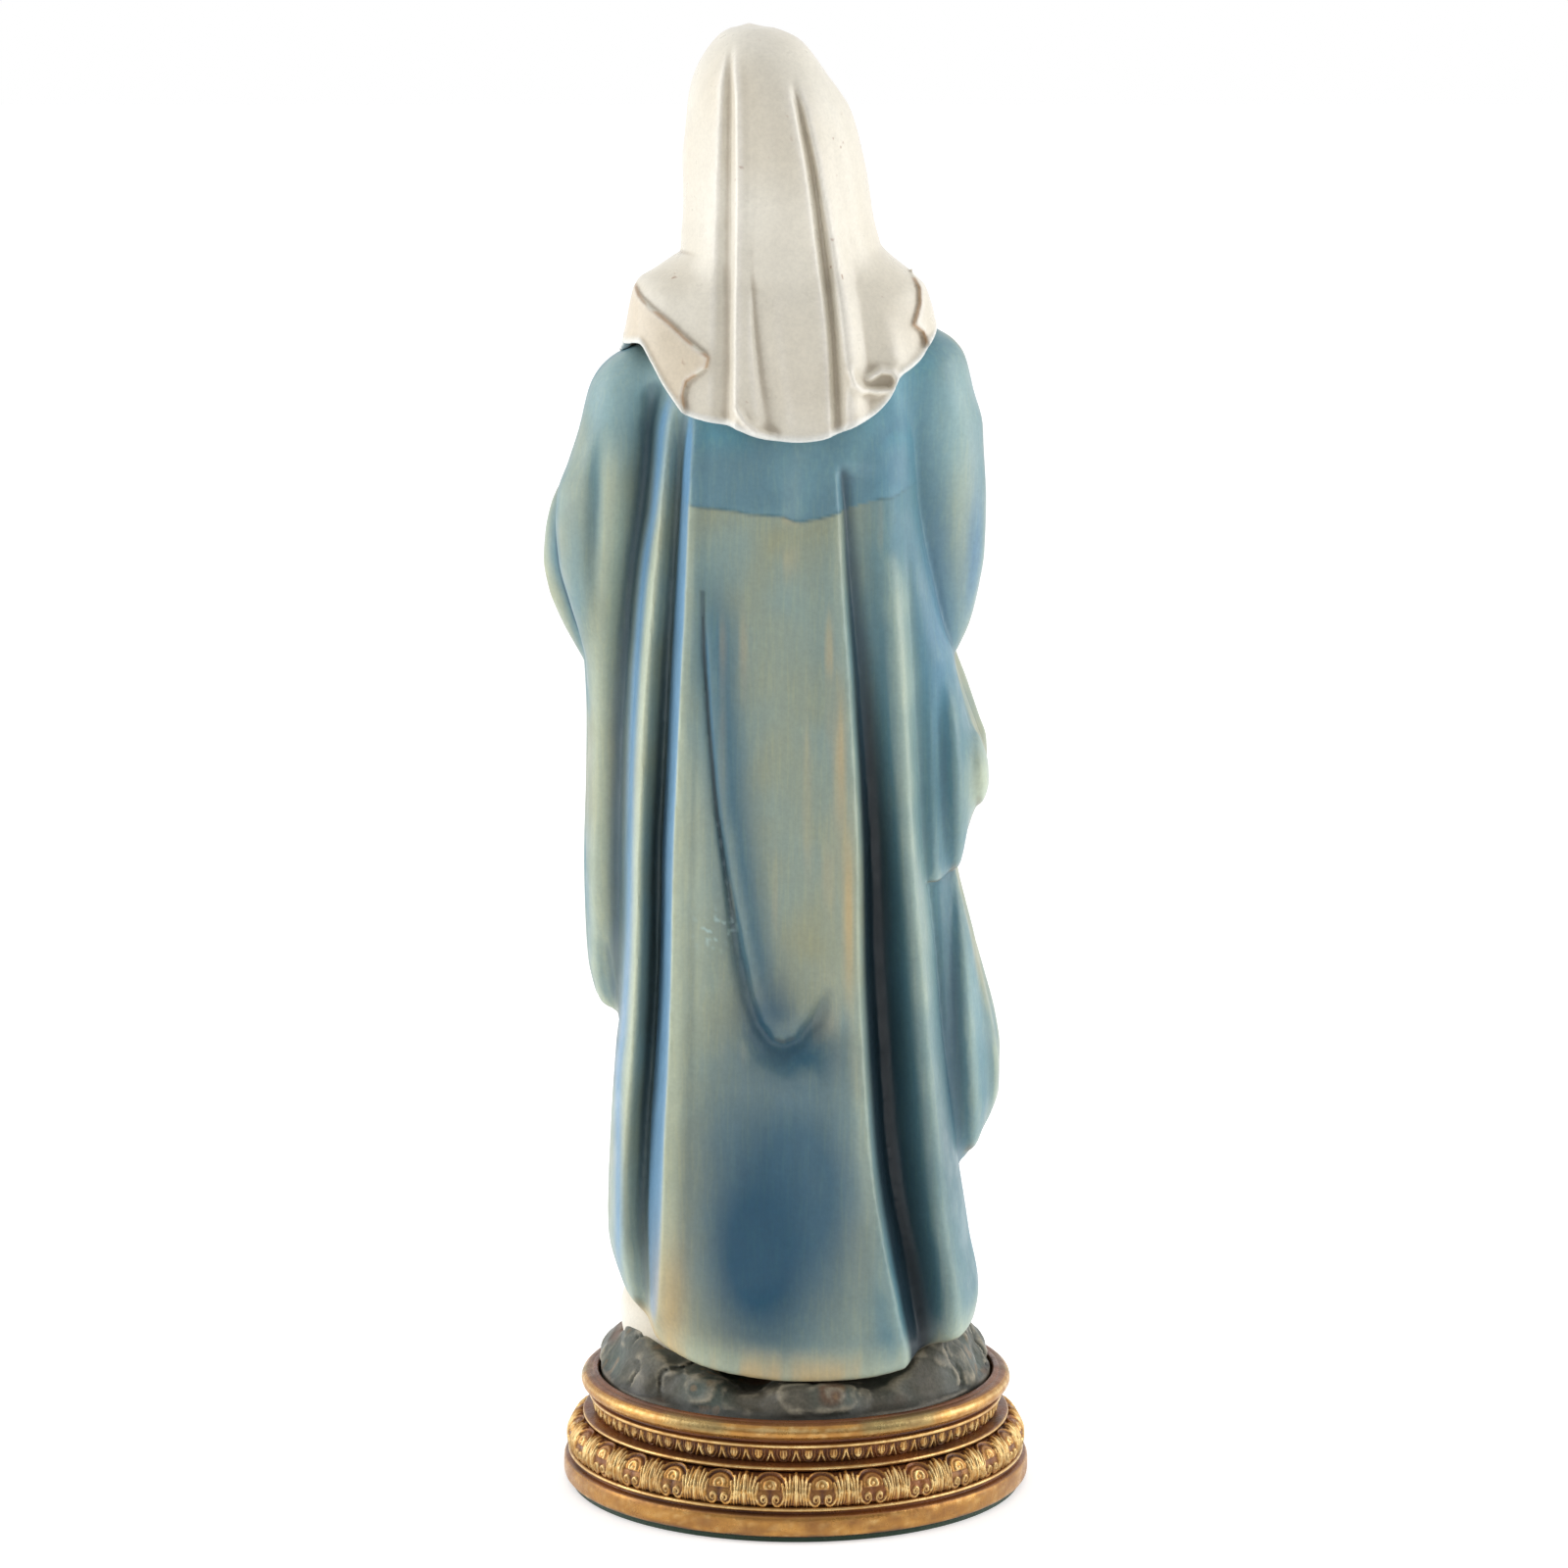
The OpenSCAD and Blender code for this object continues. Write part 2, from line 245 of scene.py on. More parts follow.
def smooth(field, axis_count=3):
    """Averages a field lightly with its neighbours."""
    for axis in range(axis_count):
        a = np.moveaxis(field, axis, 0)
        a[1:-1] = (a[:-2] + 2 * a[1:-1] + a[2:]) / 4
    return field


def to_mesh(block, field, name, relax=2):
    """The surface of a field as a mesh object, in metres."""
    edge = 3 * block.step
    for axis in range(3):
        a = np.moveaxis(field, axis, 0)
        a[0], a[-1] = np.maximum(a[0], 0.5 * block.step), np.maximum(a[-1], 0.5 * block.step)
    grid = openvdb.FloatGrid(edge)
    grid.copyFromArray(np.clip(field, -edge, edge).astype(np.float32))
    points, quads = grid.convertToQuads(0.0)
    points = points.astype(np.float64) * block.step + np.array(block.low)
    points, quads = keep_largest(points, quads)
    for _ in range(relax):
        points = relaxed(points, quads, 0.5)
        points = relaxed(points, quads, -0.52)
    return new_mesh(name, points, quads), points, quads


def keep_largest(points, faces):
    """Drops every loose crumb, and keeps the biggest connected surface."""
    label = np.arange(len(points))
    while True:
        low = label[faces].min(1)
        new = label.copy()
        np.minimum.at(new, faces.ravel(), np.repeat(low, faces.shape[1]))
        new = new[new]
        if (new == label).all():
            break
        label = new
    biggest = np.bincount(label).argmax()
    keep = label == biggest
    index = np.cumsum(keep) - 1
    return points[keep], index[faces[keep[faces[:, 0]]]]


def relaxed(points, quads, amount):
    """Moves each point towards the middle of its neighbours."""
    total, count = np.zeros_like(points), np.zeros(len(points))
    for a, b in ((0, 1), (1, 2), (2, 3), (3, 0)):
        for axis in range(3):
            total[:, axis] += np.bincount(quads[:, a], points[quads[:, b], axis], len(points))
            total[:, axis] += np.bincount(quads[:, b], points[quads[:, a], axis], len(points))
        count += np.bincount(quads[:, a], minlength=len(points)) + np.bincount(quads[:, b], minlength=len(points))
    return points + amount * (total / np.maximum(count, 1)[:, None] - points)


def new_mesh(name, points, faces):
    """A smooth-shaded mesh object from points in millimetres and faces of one length."""
    mesh = bpy.data.meshes.new(name)
    size = faces.shape[1]
    mesh.vertices.add(len(points))
    mesh.vertices.foreach_set("co", (points * MM).astype(np.float32).ravel())
    mesh.loops.add(faces.size)
    mesh.loops.foreach_set("vertex_index", faces.astype(np.int32).ravel())
    mesh.polygons.add(len(faces))
    mesh.polygons.foreach_set("loop_start", np.arange(0, faces.size, size, dtype=np.int32))
    mesh.update(calc_edges=True)
    mesh.shade_smooth()
    obj = bpy.data.objects.new(name, mesh)
    bpy.context.scene.collection.objects.link(obj)
    return obj

# ---------------------------------------------------------------- the draped forms

# How far the mantle's back panel reaches left, right and behind at each height.
CORE_LEFT = [(28, 29), (38, 31.5), (45, 35.7), (55, 38.5), (68, 38.1), (94, 36.2), (100, 35.2), (105, 34.8),
             (120, 34), (150, 33), (174, 31.8), (185, 31), (204, 29.2), (220, 28.2), (229, 27), (236, 23), (241, 17), (245, 10)]
CORE_RIGHT = [(28, 31), (33, 34.2), (38, 37.1), (42, 37.6), (55, 35.2), (66, 33.6), (80, 32.2), (96, 30.6),
              (114, 29.2), (134, 27.2), (154, 26), (173, 25.2), (190, 24.6), (205, 24.4),
              (217, 24.6), (229, 24.5), (236, 22), (241, 17), (245, 10)]
CORE_BACK = [(28, 34.6), (50, 33), (80, 31), (110, 29.5), (150, 28), (190, 26.5), (210, 25), (222, 22.6),
             (232, 19), (240, 14.5), (245, 9)]
# The fold lines of the back, from the figure's left to its right, as (height, x, relief).
BACK_FOLDS = [
    {"at": [(28, 34, 0), (60, 40, 0), (95, 39, 0), (150, 36, 0), (225, 31, 0)]},
    {"at": [(30, 31, 0.3), (45, 34, 1), (60, 35.8, 1.6), (80, 34.6, 2), (95, 33.4, 2.2), (114, 32.4, 2.4),
            (144, 31.6, 2.4), (174, 30, 2.2), (204, 27.2, 1.6), (222, 25.6, 0.6), (229, 25, 0.2)]},
    {"at": [(36, 30, 0), (44, 30, -1.2), (60, 30.3, -3), (80, 29.6, -4.4), (94, 28.6, -5), (114, 27.6, -5.2),
            (134, 27.2, -5), (154, 26.1, -4.4), (174, 25.1, -3.6), (184, 24.5, -3.2), (204, 23.3, -2.6),
            (216, 22.5, -2.1), (222, 21.9, -1.3), (226, 21.6, 0)], "right": 0.6},
    {"at": [(36, 28.2, 0.8), (44, 27.2, 1.6), (60, 26.2, 2.2), (80, 25.6, 2.4), (94, 25, 2.4), (114, 24.4, 2.4),
            (134, 24, 2.2), (154, 23.2, 2), (174, 22.2, 1.6), (184, 21.6, 1.4), (203, 20.9, 1.2),
            (216, 20.2, 0.9), (223, 19.8, 0.3)], "left": 0.9},
    {"at": [(36, 22, 0.4), (60, 21, 0.6), (94, 20.6, 0.7), (134, 20.4, 0.5), (174, 19, 0.3), (223, 17, 0)]},
    {"at": [(30, 4, 0.2), (50, 4, -1.5), (80, 4, -2), (95, 5, -1), (110, 6, -0.5), (150, 8, -0.4), (190, 6, 0),
            (223, 3, 0)]},
    {"at": [(30, -10, 0.4), (60, -7, -0.4), (80, -6, -0.2), (110, -4, 0.4), (150, -3, 0.6), (190, -3, 0.3),
            (223, -3, 0)]},
    {"at": [(33, -22, 1.2), (44, -20.2, 2), (54, -18.2, 2.2), (66, -16.1, 2.3), (76, -14.8, 2.4), (96, -13.4, 2.4),
            (114, -12.5, 2.3), (134, -12.3, 2.2), (144, -12, 2.1), (154, -11.5, 1.9), (164, -10.9, 1.7),
            (174, -10.3, 1.5), (184, -9.5, 1.3), (194, -8.8, 1.1), (204, -8.3, 0.8), (211, -7.8, 0.5),
            (215, -7.6, 0)], "right": 1},
    {"at": [(33, -25.6, -3.5), (44, -24.2, -5.4), (54, -22.4, -6.6), (66, -20, -7.4), (76, -18.7, -7.7),
            (96, -17.3, -7.6), (114, -16.2, -7), (134, -15.5, -6), (154, -14.2, -4.8), (174, -12.7, -3.8),
            (194, -11, -2.8), (204, -10.3, -2.3), (211, -9.7, -1.7), (215, -9.4, 0)], "left": 0.6},
    {"at": [(34, -33.6, 0.8), (44, -33, 1.2), (60, -30.6, 1.6), (74, -29.2, 1.8), (96, -27, 1.9), (114, -25.6, 1.9),
            (134, -23.6, 1.9), (154, -22.6, 1.8), (174, -21.4, 1.5), (184, -20.7, 1), (194, -20, 0.4),
            (198, -19.6, 0)], "right": 0.5},
    {"at": [(28, -38, 0), (60, -35, 0.6), (74, -33.2, 0), (96, -30.8, -0.8), (114, -29.4, -1.4), (134, -27, -1.6),
            (154, -26, -1.6), (174, -24.8, -1.2), (184, -23.7, -0.8), (194, -22.6, -0.3), (198, -22, 0)]},
    {"at": [(28, -42, 0), (100, -36, 0), (154, -32, 0), (190, -29, 0), (225, -29, 0)]},
]
# The swag: a crease that falls beside the middle of the back and turns up at the bottom.
SWAG_CREASE = [(18.6, 189), (18.4, 178), (17.4, 162), (16, 146), (13.8, 130), (11.8, 117), (10, 107.4), (8, 101.6),
               (5.4, 98), (2.4, 96.8), (-0.8, 98.4), (-3.8, 102.6), (-6.4, 108), (-8.4, 114)]
SWAG_ROLL = [(15.4, 124), (13, 109), (10.6, 99.4), (7, 93.6), (2.2, 91.2), (-2.6, 92.8), (-6.6, 98), (-8.8, 105)]
# The groove between the back panel and the left side panel, and a short one on the arm.
SIDE_GROOVE = [(26, 233), (27.6, 227), (29.2, 221), (30, 213), (31, 204), (32.6, 194), (33.6, 185), (34.6, 172),
               (35.4, 158), (35.9, 144), (36.3, 120), (37.4, 100), (38.6, 88)]
ARM_GROOVE = [(38.6, 219), (39.6, 212), (40.3, 203), (40.6, 192), (40.2, 182)]

# Half-widths of the left side panel from x = 29, and of the forearm's cloth in front of it from x = 35.
LEFT_PANEL = [(90, 6), (94.5, 8.2), (98, 10.4), (103, 12.2), (109, 13.4), (118, 13.9), (128, 14.1), (146, 13.6),
              (160, 13.4), (171, 13.8), (178, 15.2), (184, 17), (192, 19.1), (200, 19.7), (206, 19.3), (212, 17.2),
              (219, 14.9), (227, 12.9), (233, 10.4), (237, 7), (240, 4)]
LEFT_PANEL_BACK = [(94, 11), (110, 14), (150, 14.5), (190, 15), (213, 15), (228, 12.5), (237, 8), (240, 4)]
LEFT_PANEL_FRONT = [(94, 17), (150, 16.5), (185, 17), (215, 14), (230, 11), (237, 7), (240, 3)]
LEFT_FRONT = [(160, 4), (166, 6.4), (170.5, 8.8), (179, 13.4), (185, 15.7), (191, 16.7), (196, 16.4),
              (202, 15.2), (208, 12.4), (214, 7), (218, 2)]
# Half-widths of the right arm's cloth from x = -24, and of the two layers that fall behind and below it.
RIGHT_ARM = [(165, 5), (172, 7.8), (180, 11.4), (188, 13.3), (194, 14.2), (204, 14.5), (216, 13.9), (220, 13.7),
             (227, 11.8), (234, 10), (237, 8.2), (240, 4.5), (243, 1)]
RIGHT_UPPER = [(124, 12.5), (130, 16.6), (133, 17.8), (137, 19.2), (140, 20.2), (143, 21.4), (148, 23),
               (151, 22.9), (155, 21.5), (163, 18.7), (170, 16.6), (175, 15.6), (179, 14.2), (189, 11.8),
               (198, 9.9), (211, 7.9), (223, 6), (229, 4)]
RIGHT_LOWER = [(62, 7.6), (65.5, 9.6), (72, 13.6), (77, 16.4), (82, 17.9), (88, 18), (96, 16.8), (103, 15.2),
               (111, 13.2), (118, 11.2), (125, 9.4), (130, 8.5), (138, 6)]
# Lower edge of the back panel by direction round the figure, where 90 degrees is the middle of the back.
HEM = [(-40, 62), (-10, 52), (8, 43), (20, 38.5), (45, 33.5), (70, 30.6), (90, 29.4), (110, 29.8), (130, 32),
       (150, 35), (170, 37), (184, 44), (200, 56), (230, 70)]
OPENING = [(28, 22), (60, 22.5), (95, 22), (130, 21), (165, 19.5), (186, 17), (200, 17.5), (212, 19.5),
           (224, 18), (236, 13), (246, 9)]
GOWN_LEFT = [(28, 34.4), (36, 35.4), (43, 33.6), (55, 30.6), (70, 28.6), (100, 26), (150, 23.6), (184, 22),
             (205, 24), (222, 25), (233, 20), (240, 10), (246, 7)]
GOWN_RIGHT = [(28, 30), (45, 29), (70, 27.4), (100, 25), (150, 22.6), (184, 20.6), (205, 20), (222, 22),
              (233, 18), (240, 9), (246, 7)]
GOWN_FRONT = [(28, 34), (34, 33), (45, 30), (60, 27.4), (85, 24.8), (120, 22.6), (150, 21), (170, 19.6),
              (187, 18.6), (197, 20.4), (208, 22.4), (218, 21), (228, 16.8), (236, 12), (242, 8.6), (246, 7)]
GOWN_BACK = [(28, 22), (60, 19), (110, 17), (190, 16), (222, 13), (236, 9), (246, 6)]


def gown_field(b):
    """The gown without its folds, which the mantle also fits round."""
    return loft(b.x, b.y, b.z, ([(28, 1), (225, 1), (240, 4), (246, 5)], 0), GOWN_LEFT, GOWN_RIGHT, GOWN_BACK,
                GOWN_FRONT, 2.3)


def pleats(t):
    """Soft folds with crisp valleys, from -1 to 1, one for each unit of t."""
    return 2 * np.abs(np.sin(np.pi * t)) ** 0.8 - 1


def side_pleats(x, y, z, across, sway):
    """Folds of a front or side panel, as a number of pleats round an axis inside the figure."""
    around = np.degrees(np.arctan2(y - 4, np.abs(x - 2)))
    return pleats(around / across + sway * np.sin(z / 31 + 0.8) + 0.25 * np.sin(z / 13 + x / 9))


def back_relief(x, z):
    """How far the cloth of the back stands out from its smooth shape."""
    relief = folds(x, z, BACK_FOLDS)
    gap, share, side = stroke(x, z, SWAG_CREASE)
    ends = fade(share, 0, 0.12) * (1 - fade(share, 0.88, 1))
    wide = 0.6 + 2.2 * fade(share, 0.45, 0.85)
    relief = relief - (0.9 + 0.5 * fade(share, 0.3, 0.6)) * ends * np.exp(-((gap / wide) ** 2))
    cup = np.where(side > 0, np.exp(-((gap / 10) ** 2)), np.exp(-((gap / 1.6) ** 2)))
    relief = relief - (0.5 + 1.1 * fade(share, 0.2, 0.7)) * ends * cup
    gap, share, _ = stroke(x, z, SWAG_ROLL)
    return relief + 1.7 * np.exp(-((gap / 5) ** 2)) * fade(share, 0, 0.5) * (1 - fade(share, 0.6, 1))


def mantle_solid(b, detail=True):
    """The mantle as a solid block of cloth, before the opening in front is cut."""
    x, y, z = b.x, b.y, b.z
    back = loft(x, y, z, (0, 0), CORE_LEFT, CORE_RIGHT, CORE_BACK, 20, 3)
    if detail:
        back = back - back_relief(x, z) * fade(y, 1, 9)
    around = np.degrees(np.arctan2(y, x))
    around = np.where(around < -130, around + 360, around)
    back = overlap(back, (profile(HEM, around) - z) * 0.95, 1.6)

    folded = side_pleats(x, y, z, 12.5, 0.35) * fade(-y, 1, 11)
    left = loft(x, y, z, (29, -2), LEFT_PANEL, 15, LEFT_PANEL_BACK, LEFT_PANEL_FRONT, 3)
    if detail:
        gap, share, side = stroke(x, z, SIDE_GROOVE)
        groove = 4.6 * np.exp(-((gap / np.where(side > 0, 4.2, 1.6)) ** 2)) * fade(share, 0, 0.06)
        gap, share, side = stroke(x, z, ARM_GROOVE)
        groove = groove + 1.1 * np.exp(-((gap / 1.5) ** 2)) * np.sin(np.pi * share)
        left = left + groove * fade(y, -3, 4)
        left = left - 1.1 * folded * (1 - fade(z, 168, 186))
    left = overlap(left, z - 237 - 0.25 * (29 - x), 7)
    left = overlap(left, 95 + 0.4 * (10 - y) + 0.3 * np.maximum(34 - x, 0) - 2.4 * folded * fade(-y, 0, 8) - z, 1.2)
    slant = z + 0.35 * np.minimum(y, 0)
    upper = loft(x, y, slant, (-16, 0), 12, RIGHT_UPPER, [(124, 15), (175, 17), (205, 18), (229, 17)], 19, 3.4)
    if detail:
        upper = upper - 1.1 * folded * (1 - fade(z, 165, 180))
        ripple = 0.7 * np.cos((x + 33 - 0.05 * (z - 140)) * 1.1) * (1 - fade(z, 158, 176))
        upper = upper - ripple * fade(-x, 25, 29) * fade(y, 0, 5)
    upper = overlap(upper, 128 - 2.6 * folded * fade(-y, 0, 8) - slant, 1.4)
    lower = loft(x, y, z, (-24, -4), 12, RIGHT_LOWER, 14.5, 17.5, 2.6)
    if detail:
        lower = lower - 1.1 * folded
        ripple = 0.8 * np.cos((x + 36 - 0.06 * (z - 92)) * 0.95)
        lower = lower - ripple * fade(-x, 29, 32) * fade(y, -1, 4)
    lower = overlap(overlap(lower, 65 + 0.3 * (8 - y) - 2.4 * folded * fade(-y, 0, 8) - z, 1.2), z - 141, 4)

    left_front = loft(x, y, z, (35, -12), LEFT_FRONT, 10, 8, 11, 2.2)
    left_front = overlap(overlap(left_front, 165 - z, 3), z - 217, 4)
    right_arm = loft(x, y, z, (-24, 0), 12, RIGHT_ARM, [(165, 7), (190, 8), (206, 10), (222, 13), (230, 14), (238, 9), (243, 2)],
                     [(165, 15), (190, 17), (215, 14), (230, 12), (238, 7), (243, 2)], 2.3)
    right_arm = overlap(right_arm, 172 + 0.2 * y - z, 2)
    arms = join(left_front, right_arm, 1)
    arms = limb(b, arms, [(38, -13, 190, 8.5), (29, -20, 193, 9.5), (20, -27, 196, 8)], 4)
    arms = limb(b, arms, [(-28, -11, 190, 8.5), (-21, -19, 192, 9.5), (-13, -27.5, 195.5, 8)], 4)
    if detail:
        hang = pleats((z * 0.8 + np.abs(x - 2) * 0.55 + 1.5 * np.sin(y / 4)) / 7.5)
        arms = arms - 0.8 * hang * fade(-y, 14, 22) * (1 - fade(z, 204, 222))

    body = join(back, left, profile([(100, 0.8), (204, 1), (222, 3), (236, 7)], z))
    body = join(body, join(upper, lower, 1), profile([(100, 0.8), (205, 1), (222, 3), (236, 7)], z))
    body = join(body, arms, profile([(160, 0.8), (216, 1), (228, 4), (238, 7)], z))
    return overlap(body, (z - 243) * 0.8, 8)


def mantle_field(b):
    """The mantle: a thick cloth round the gown, open in front."""
    body = mantle_solid(b)
    opening = np.maximum(np.abs(b.x - 2) - profile(OPENING, b.z), b.y - 3)
    body = carve(body, opening, 2.5)
    return carve(body, gown_field(b) - 0.15, 0.4)


GOWN_FOLDS = [(-31, 1, 0), (-27, 1.2, 1), (-23, 0.9, -1), (-18.5, 1, 1), (-14, 1.1, -1), (-9, 1.1, 1),
              (-5, 0.9, -1), (-1, 0.8, 1), (3.5, 1.1, -1), (8, 1.1, 1), (12, 0.9, -1), (17, 1.1, 1),
              (21.5, 1.1, -1), (26.5, 1.2, 1), (31, 1.1, -1), (35, 1, 0)]


def gown_lines():
    """Fold lines of the gown's skirt, which spread from the sash to the ground."""
    lines = []
    for k, (x, size, sign) in enumerate(sorted(GOWN_FOLDS, reverse=True)):
        sway = 2.2 * math.sin(1.7 * k)
        lines.append({"at": [(30, x + 1, 1.7 * size * sign), (70, 0.86 * x + 1 + 0.4 * sway, 1.9 * size * sign),
                             (120, 0.7 * x + 1 + sway, 1.4 * size * sign), (165, 0.6 * x + 1, 0.7 * size * sign),
                             (186, 0.56 * x + 1, 0.35 * size * sign)],
                      "left": 0.5 if sign < 0 else 0, "right": 0.5 if sign < 0 else 0})
    return lines


def gown_piece_field(b):
    x, y, z = b.x, b.y, b.z
    body = gown_field(b)
    skirt = folds(x, z, gown_lines()) * (1 - fade(z, 180, 187))
    body = body - skirt * fade(-y, 2, 12)
    sash = 0.9 * np.exp(-(((z - 186.5 + 0.05 * (x - 2)) / 3.2) ** 4))
    body = body - sash * fade(-y, -6, 2)
    gathers = 0.45 * np.cos(1.25 * (x - 2) / (0.6 + 0.4 * fade(z, 240, 190))) * fade(z, 190, 196) * (1 - fade(z, 222, 236))
    body = body - gathers * fade(-y, 2, 8)
    body = carve(body, ball(x, y, z, (5, -6, 245), (8.2, 10, 6.6)), 1)
    return overlap(body, 28.6 - z, 1)


# ---------------------------------------------------------------- the veil

TURN = math.radians(20)
HEAD = (5, -2)
HOOD_MIDDLE = [(240, 3), (250, 3), (262, 4), (277, 5), (283, 5.8), (288, 6.8), (293, 7.8), (297, 8.6), (300, 9.6)]
HOOD_LEFT = [(222, 24), (240, 22), (250, 20.8), (257, 19.6), (262, 18.5), (270, 17.8), (277, 17), (283, 15.6),
             (287, 14.3), (290, 12.9), (293, 11), (297, 7.4), (299.2, 4), (300, 1.4)]
HOOD_RIGHT = [(222, 24), (240, 23), (250, 21.6), (257, 20), (262, 19), (270, 18.1), (277, 17), (283, 16),
              (287, 14.3), (290, 12.7), (293, 11.3), (297, 8.8), (299.2, 5.4), (300, 1.4)]
HOOD_BACK = [(222, 26), (230, 24.5), (240, 22.5), (250, 21), (257, 21), (266, 21.6), (275, 21.2), (283, 19.6), (288, 17.6),
             (293, 14.2), (297, 10.6), (299.2, 6.4), (300, 2)]
HOOD_FRONT = [(222, 16), (240, 15), (250, 15.5), (260, 17.5), (270, 19), (283, 18.2), (288, 16.6), (293, 13.6), (297, 10),
              (299.2, 6), (300, 2)]
FACE_OPENING = [(216, 15.5), (224, 14.5), (232, 12.5), (242, 11), (252, 11.4), (262, 12.6), (272, 12.8), (280, 11),
                (285, 8), (288, 4), (290, 1)]
VEIL_HEM = [(40, 236), (35.9, 236.3), (31.4, 237.4), (28.9, 233.8), (26.8, 230), (24.7, 226.9), (22, 223.8),
            (18, 222.7), (13.3, 221.9), (8.6, 220.1), (5, 219.2), (-0.9, 218.9), (-4.4, 219.2), (-10.4, 221.3),
            (-15.1, 223.6), (-18.7, 227.1), (-20.5, 231), (-23.2, 232.9), (-25, 234.5), (-27, 237.5),
            (-30, 241)]
VEIL_HEM_FRONT = [(-40, 236), (-30, 234), (-22, 226), (-12, 220), (2, 217), (14, 218), (24, 223), (32, 230), (40, 235)]
VEIL_FOLDS = [
    {"at": [(222, 28, 0), (240, 25, 0), (254, 21, 0), (288, 17.5, 0), (296, 15, 0)]},
    {"at": [(222, 17.5, 0.1), (254, 16.5, 0.3), (288, 15, 0.3), (296, 13.6, 0)]},
    {"at": [(219, 13.5, -0.9), (247, 13.1, -1), (271, 12.8, -1.1), (285, 12.7, -0.9), (293, 12.9, -0.4), (297, 12.4, 0)],
     "left": 1.4, "right": 2},
    {"at": [(219, 11.4, 1.1), (247, 11.4, 1.1), (271, 11.2, 1), (285, 11.4, 0.7), (293, 11.8, 0.3), (297, 11.5, 0)],
     "left": 1},
    {"at": [(219, 8.4, 0.6), (236, 9.4, 0.6), (253, 9.6, 0.3), (271, 9, 0.2), (290, 9.4, 0)]},
    {"at": [(219, 4.5, -1), (232, 6.3, -1), (244, 7.9, -0.7), (254, 8.6, 0), (270, 7.4, 0.1), (290, 8, 0)],
     "left": 1, "right": 0.4},
    {"at": [(219, 0.5, 0.4), (244, 3, 0.4), (270, 3.6, 0.4), (290, 5, 0)]},
    {"at": [(219, -6.4, 0.3), (232, -6.2, 0.4), (259, -3.4, 0.6), (271, -1.8, 0.6), (283, 0.4, 0.4), (291, 2, 0)],
     "right": 0.8},
    {"at": [(219, -8.6, -0.8), (232, -8.1, -1.4), (241, -7.5, -1.4), (259, -5.3, -1.3), (271, -3.7, -1.2),
            (283, -1.2, -0.9), (291, 0.4, 0)], "left": 1.6, "right": 1.6},
    {"at": [(219, -11.4, 0.8), (230, -11.2, 2), (238, -10.4, 1.8), (253, -8.4, 1.5), (269, -5.4, 1), (283, -2.6, 0.5),
            (291, -0.8, 0)], "left": 0.6},
    {"at": [(219, -15, -0.2), (232, -14.6, -0.6), (245, -13, -0.2), (262, -10, 0), (283, -6.4, 0), (291, -3, 0)]},
    {"at": [(219, -22, 0), (245, -20, 0), (262, -14.6, 0), (283, -10, 0), (291, -6, 0)]},
]
CAPE_LEFT = [(216, 30), (230, 34.6), (237, 35), (240, 34.5), (245.6, 33.3), (249, 32), (251, 29), (254, 24), (256, 10)]
CAPE_RIGHT = [(216, 24), (230, 27), (240, 28), (242, 27.8), (248, 26), (251, 23), (255, 17), (257, 8)]
CAPE_BACK = [(216, 24), (222, 23), (232, 21.4), (240, 20), (246, 17.6), (250, 14), (254, 9.5), (256, 4)]
CAPE_FRONT = [(216, 20), (230, 19), (240, 15.6), (246, 12.5), (250, 10), (254, 7), (256, 3)]
VEIL_LEFT = [(216, 34), (232, 35.8), (237, 35.6), (240, 34.7), (245.6, 33.5), (249, 32.6), (251, 31), (254, 40)]
VEIL_RIGHT = [(216, 27), (236, 28.2), (240, 28.3), (242, 27.9), (248, 26), (251, 23.4), (254, 40)]
LEFT_FLAP = [(33.4, 251), (31.4, 246.6), (28.9, 244.4), (25.2, 241.6), (21.7, 238.5), (17.4, 235.3), (17.8, 233.4),
             (21.9, 230.5), (22.6, 227.5), (22, 222), (40, 222), (40, 252)]
RIGHT_FLAP = [(-22.4, 253), (-23.2, 250.6), (-24.6, 248.1), (-24.7, 245.3), (-24, 242.9), (-23.4, 241.2),
              (-25.4, 239.5), (-26.6, 236), (-32, 236), (-32, 253)]
HEM_LOOP = [(-10.6, 233), (-11.6, 230.4), (-13.3, 229), (-16.3, 228.6), (-19, 228.9), (-20, 230.4), (-19.2, 232.2),
            (-16.9, 232.6), (-14.7, 231.4)]
HEM_CURL = [(11.8, 225.4), (10.2, 223), (7.6, 221), (4.6, 220)]


def turned(b):
    """Places round the head's own axis, turned with it: towards its left, and towards its back."""
    turn = TURN * fade(b.z, 236, 262)
    dx, dy = b.x - HEAD[0], b.y - HEAD[1]
    return dx * np.cos(turn) + dy * np.sin(turn), dy * np.cos(turn) - dx * np.sin(turn)


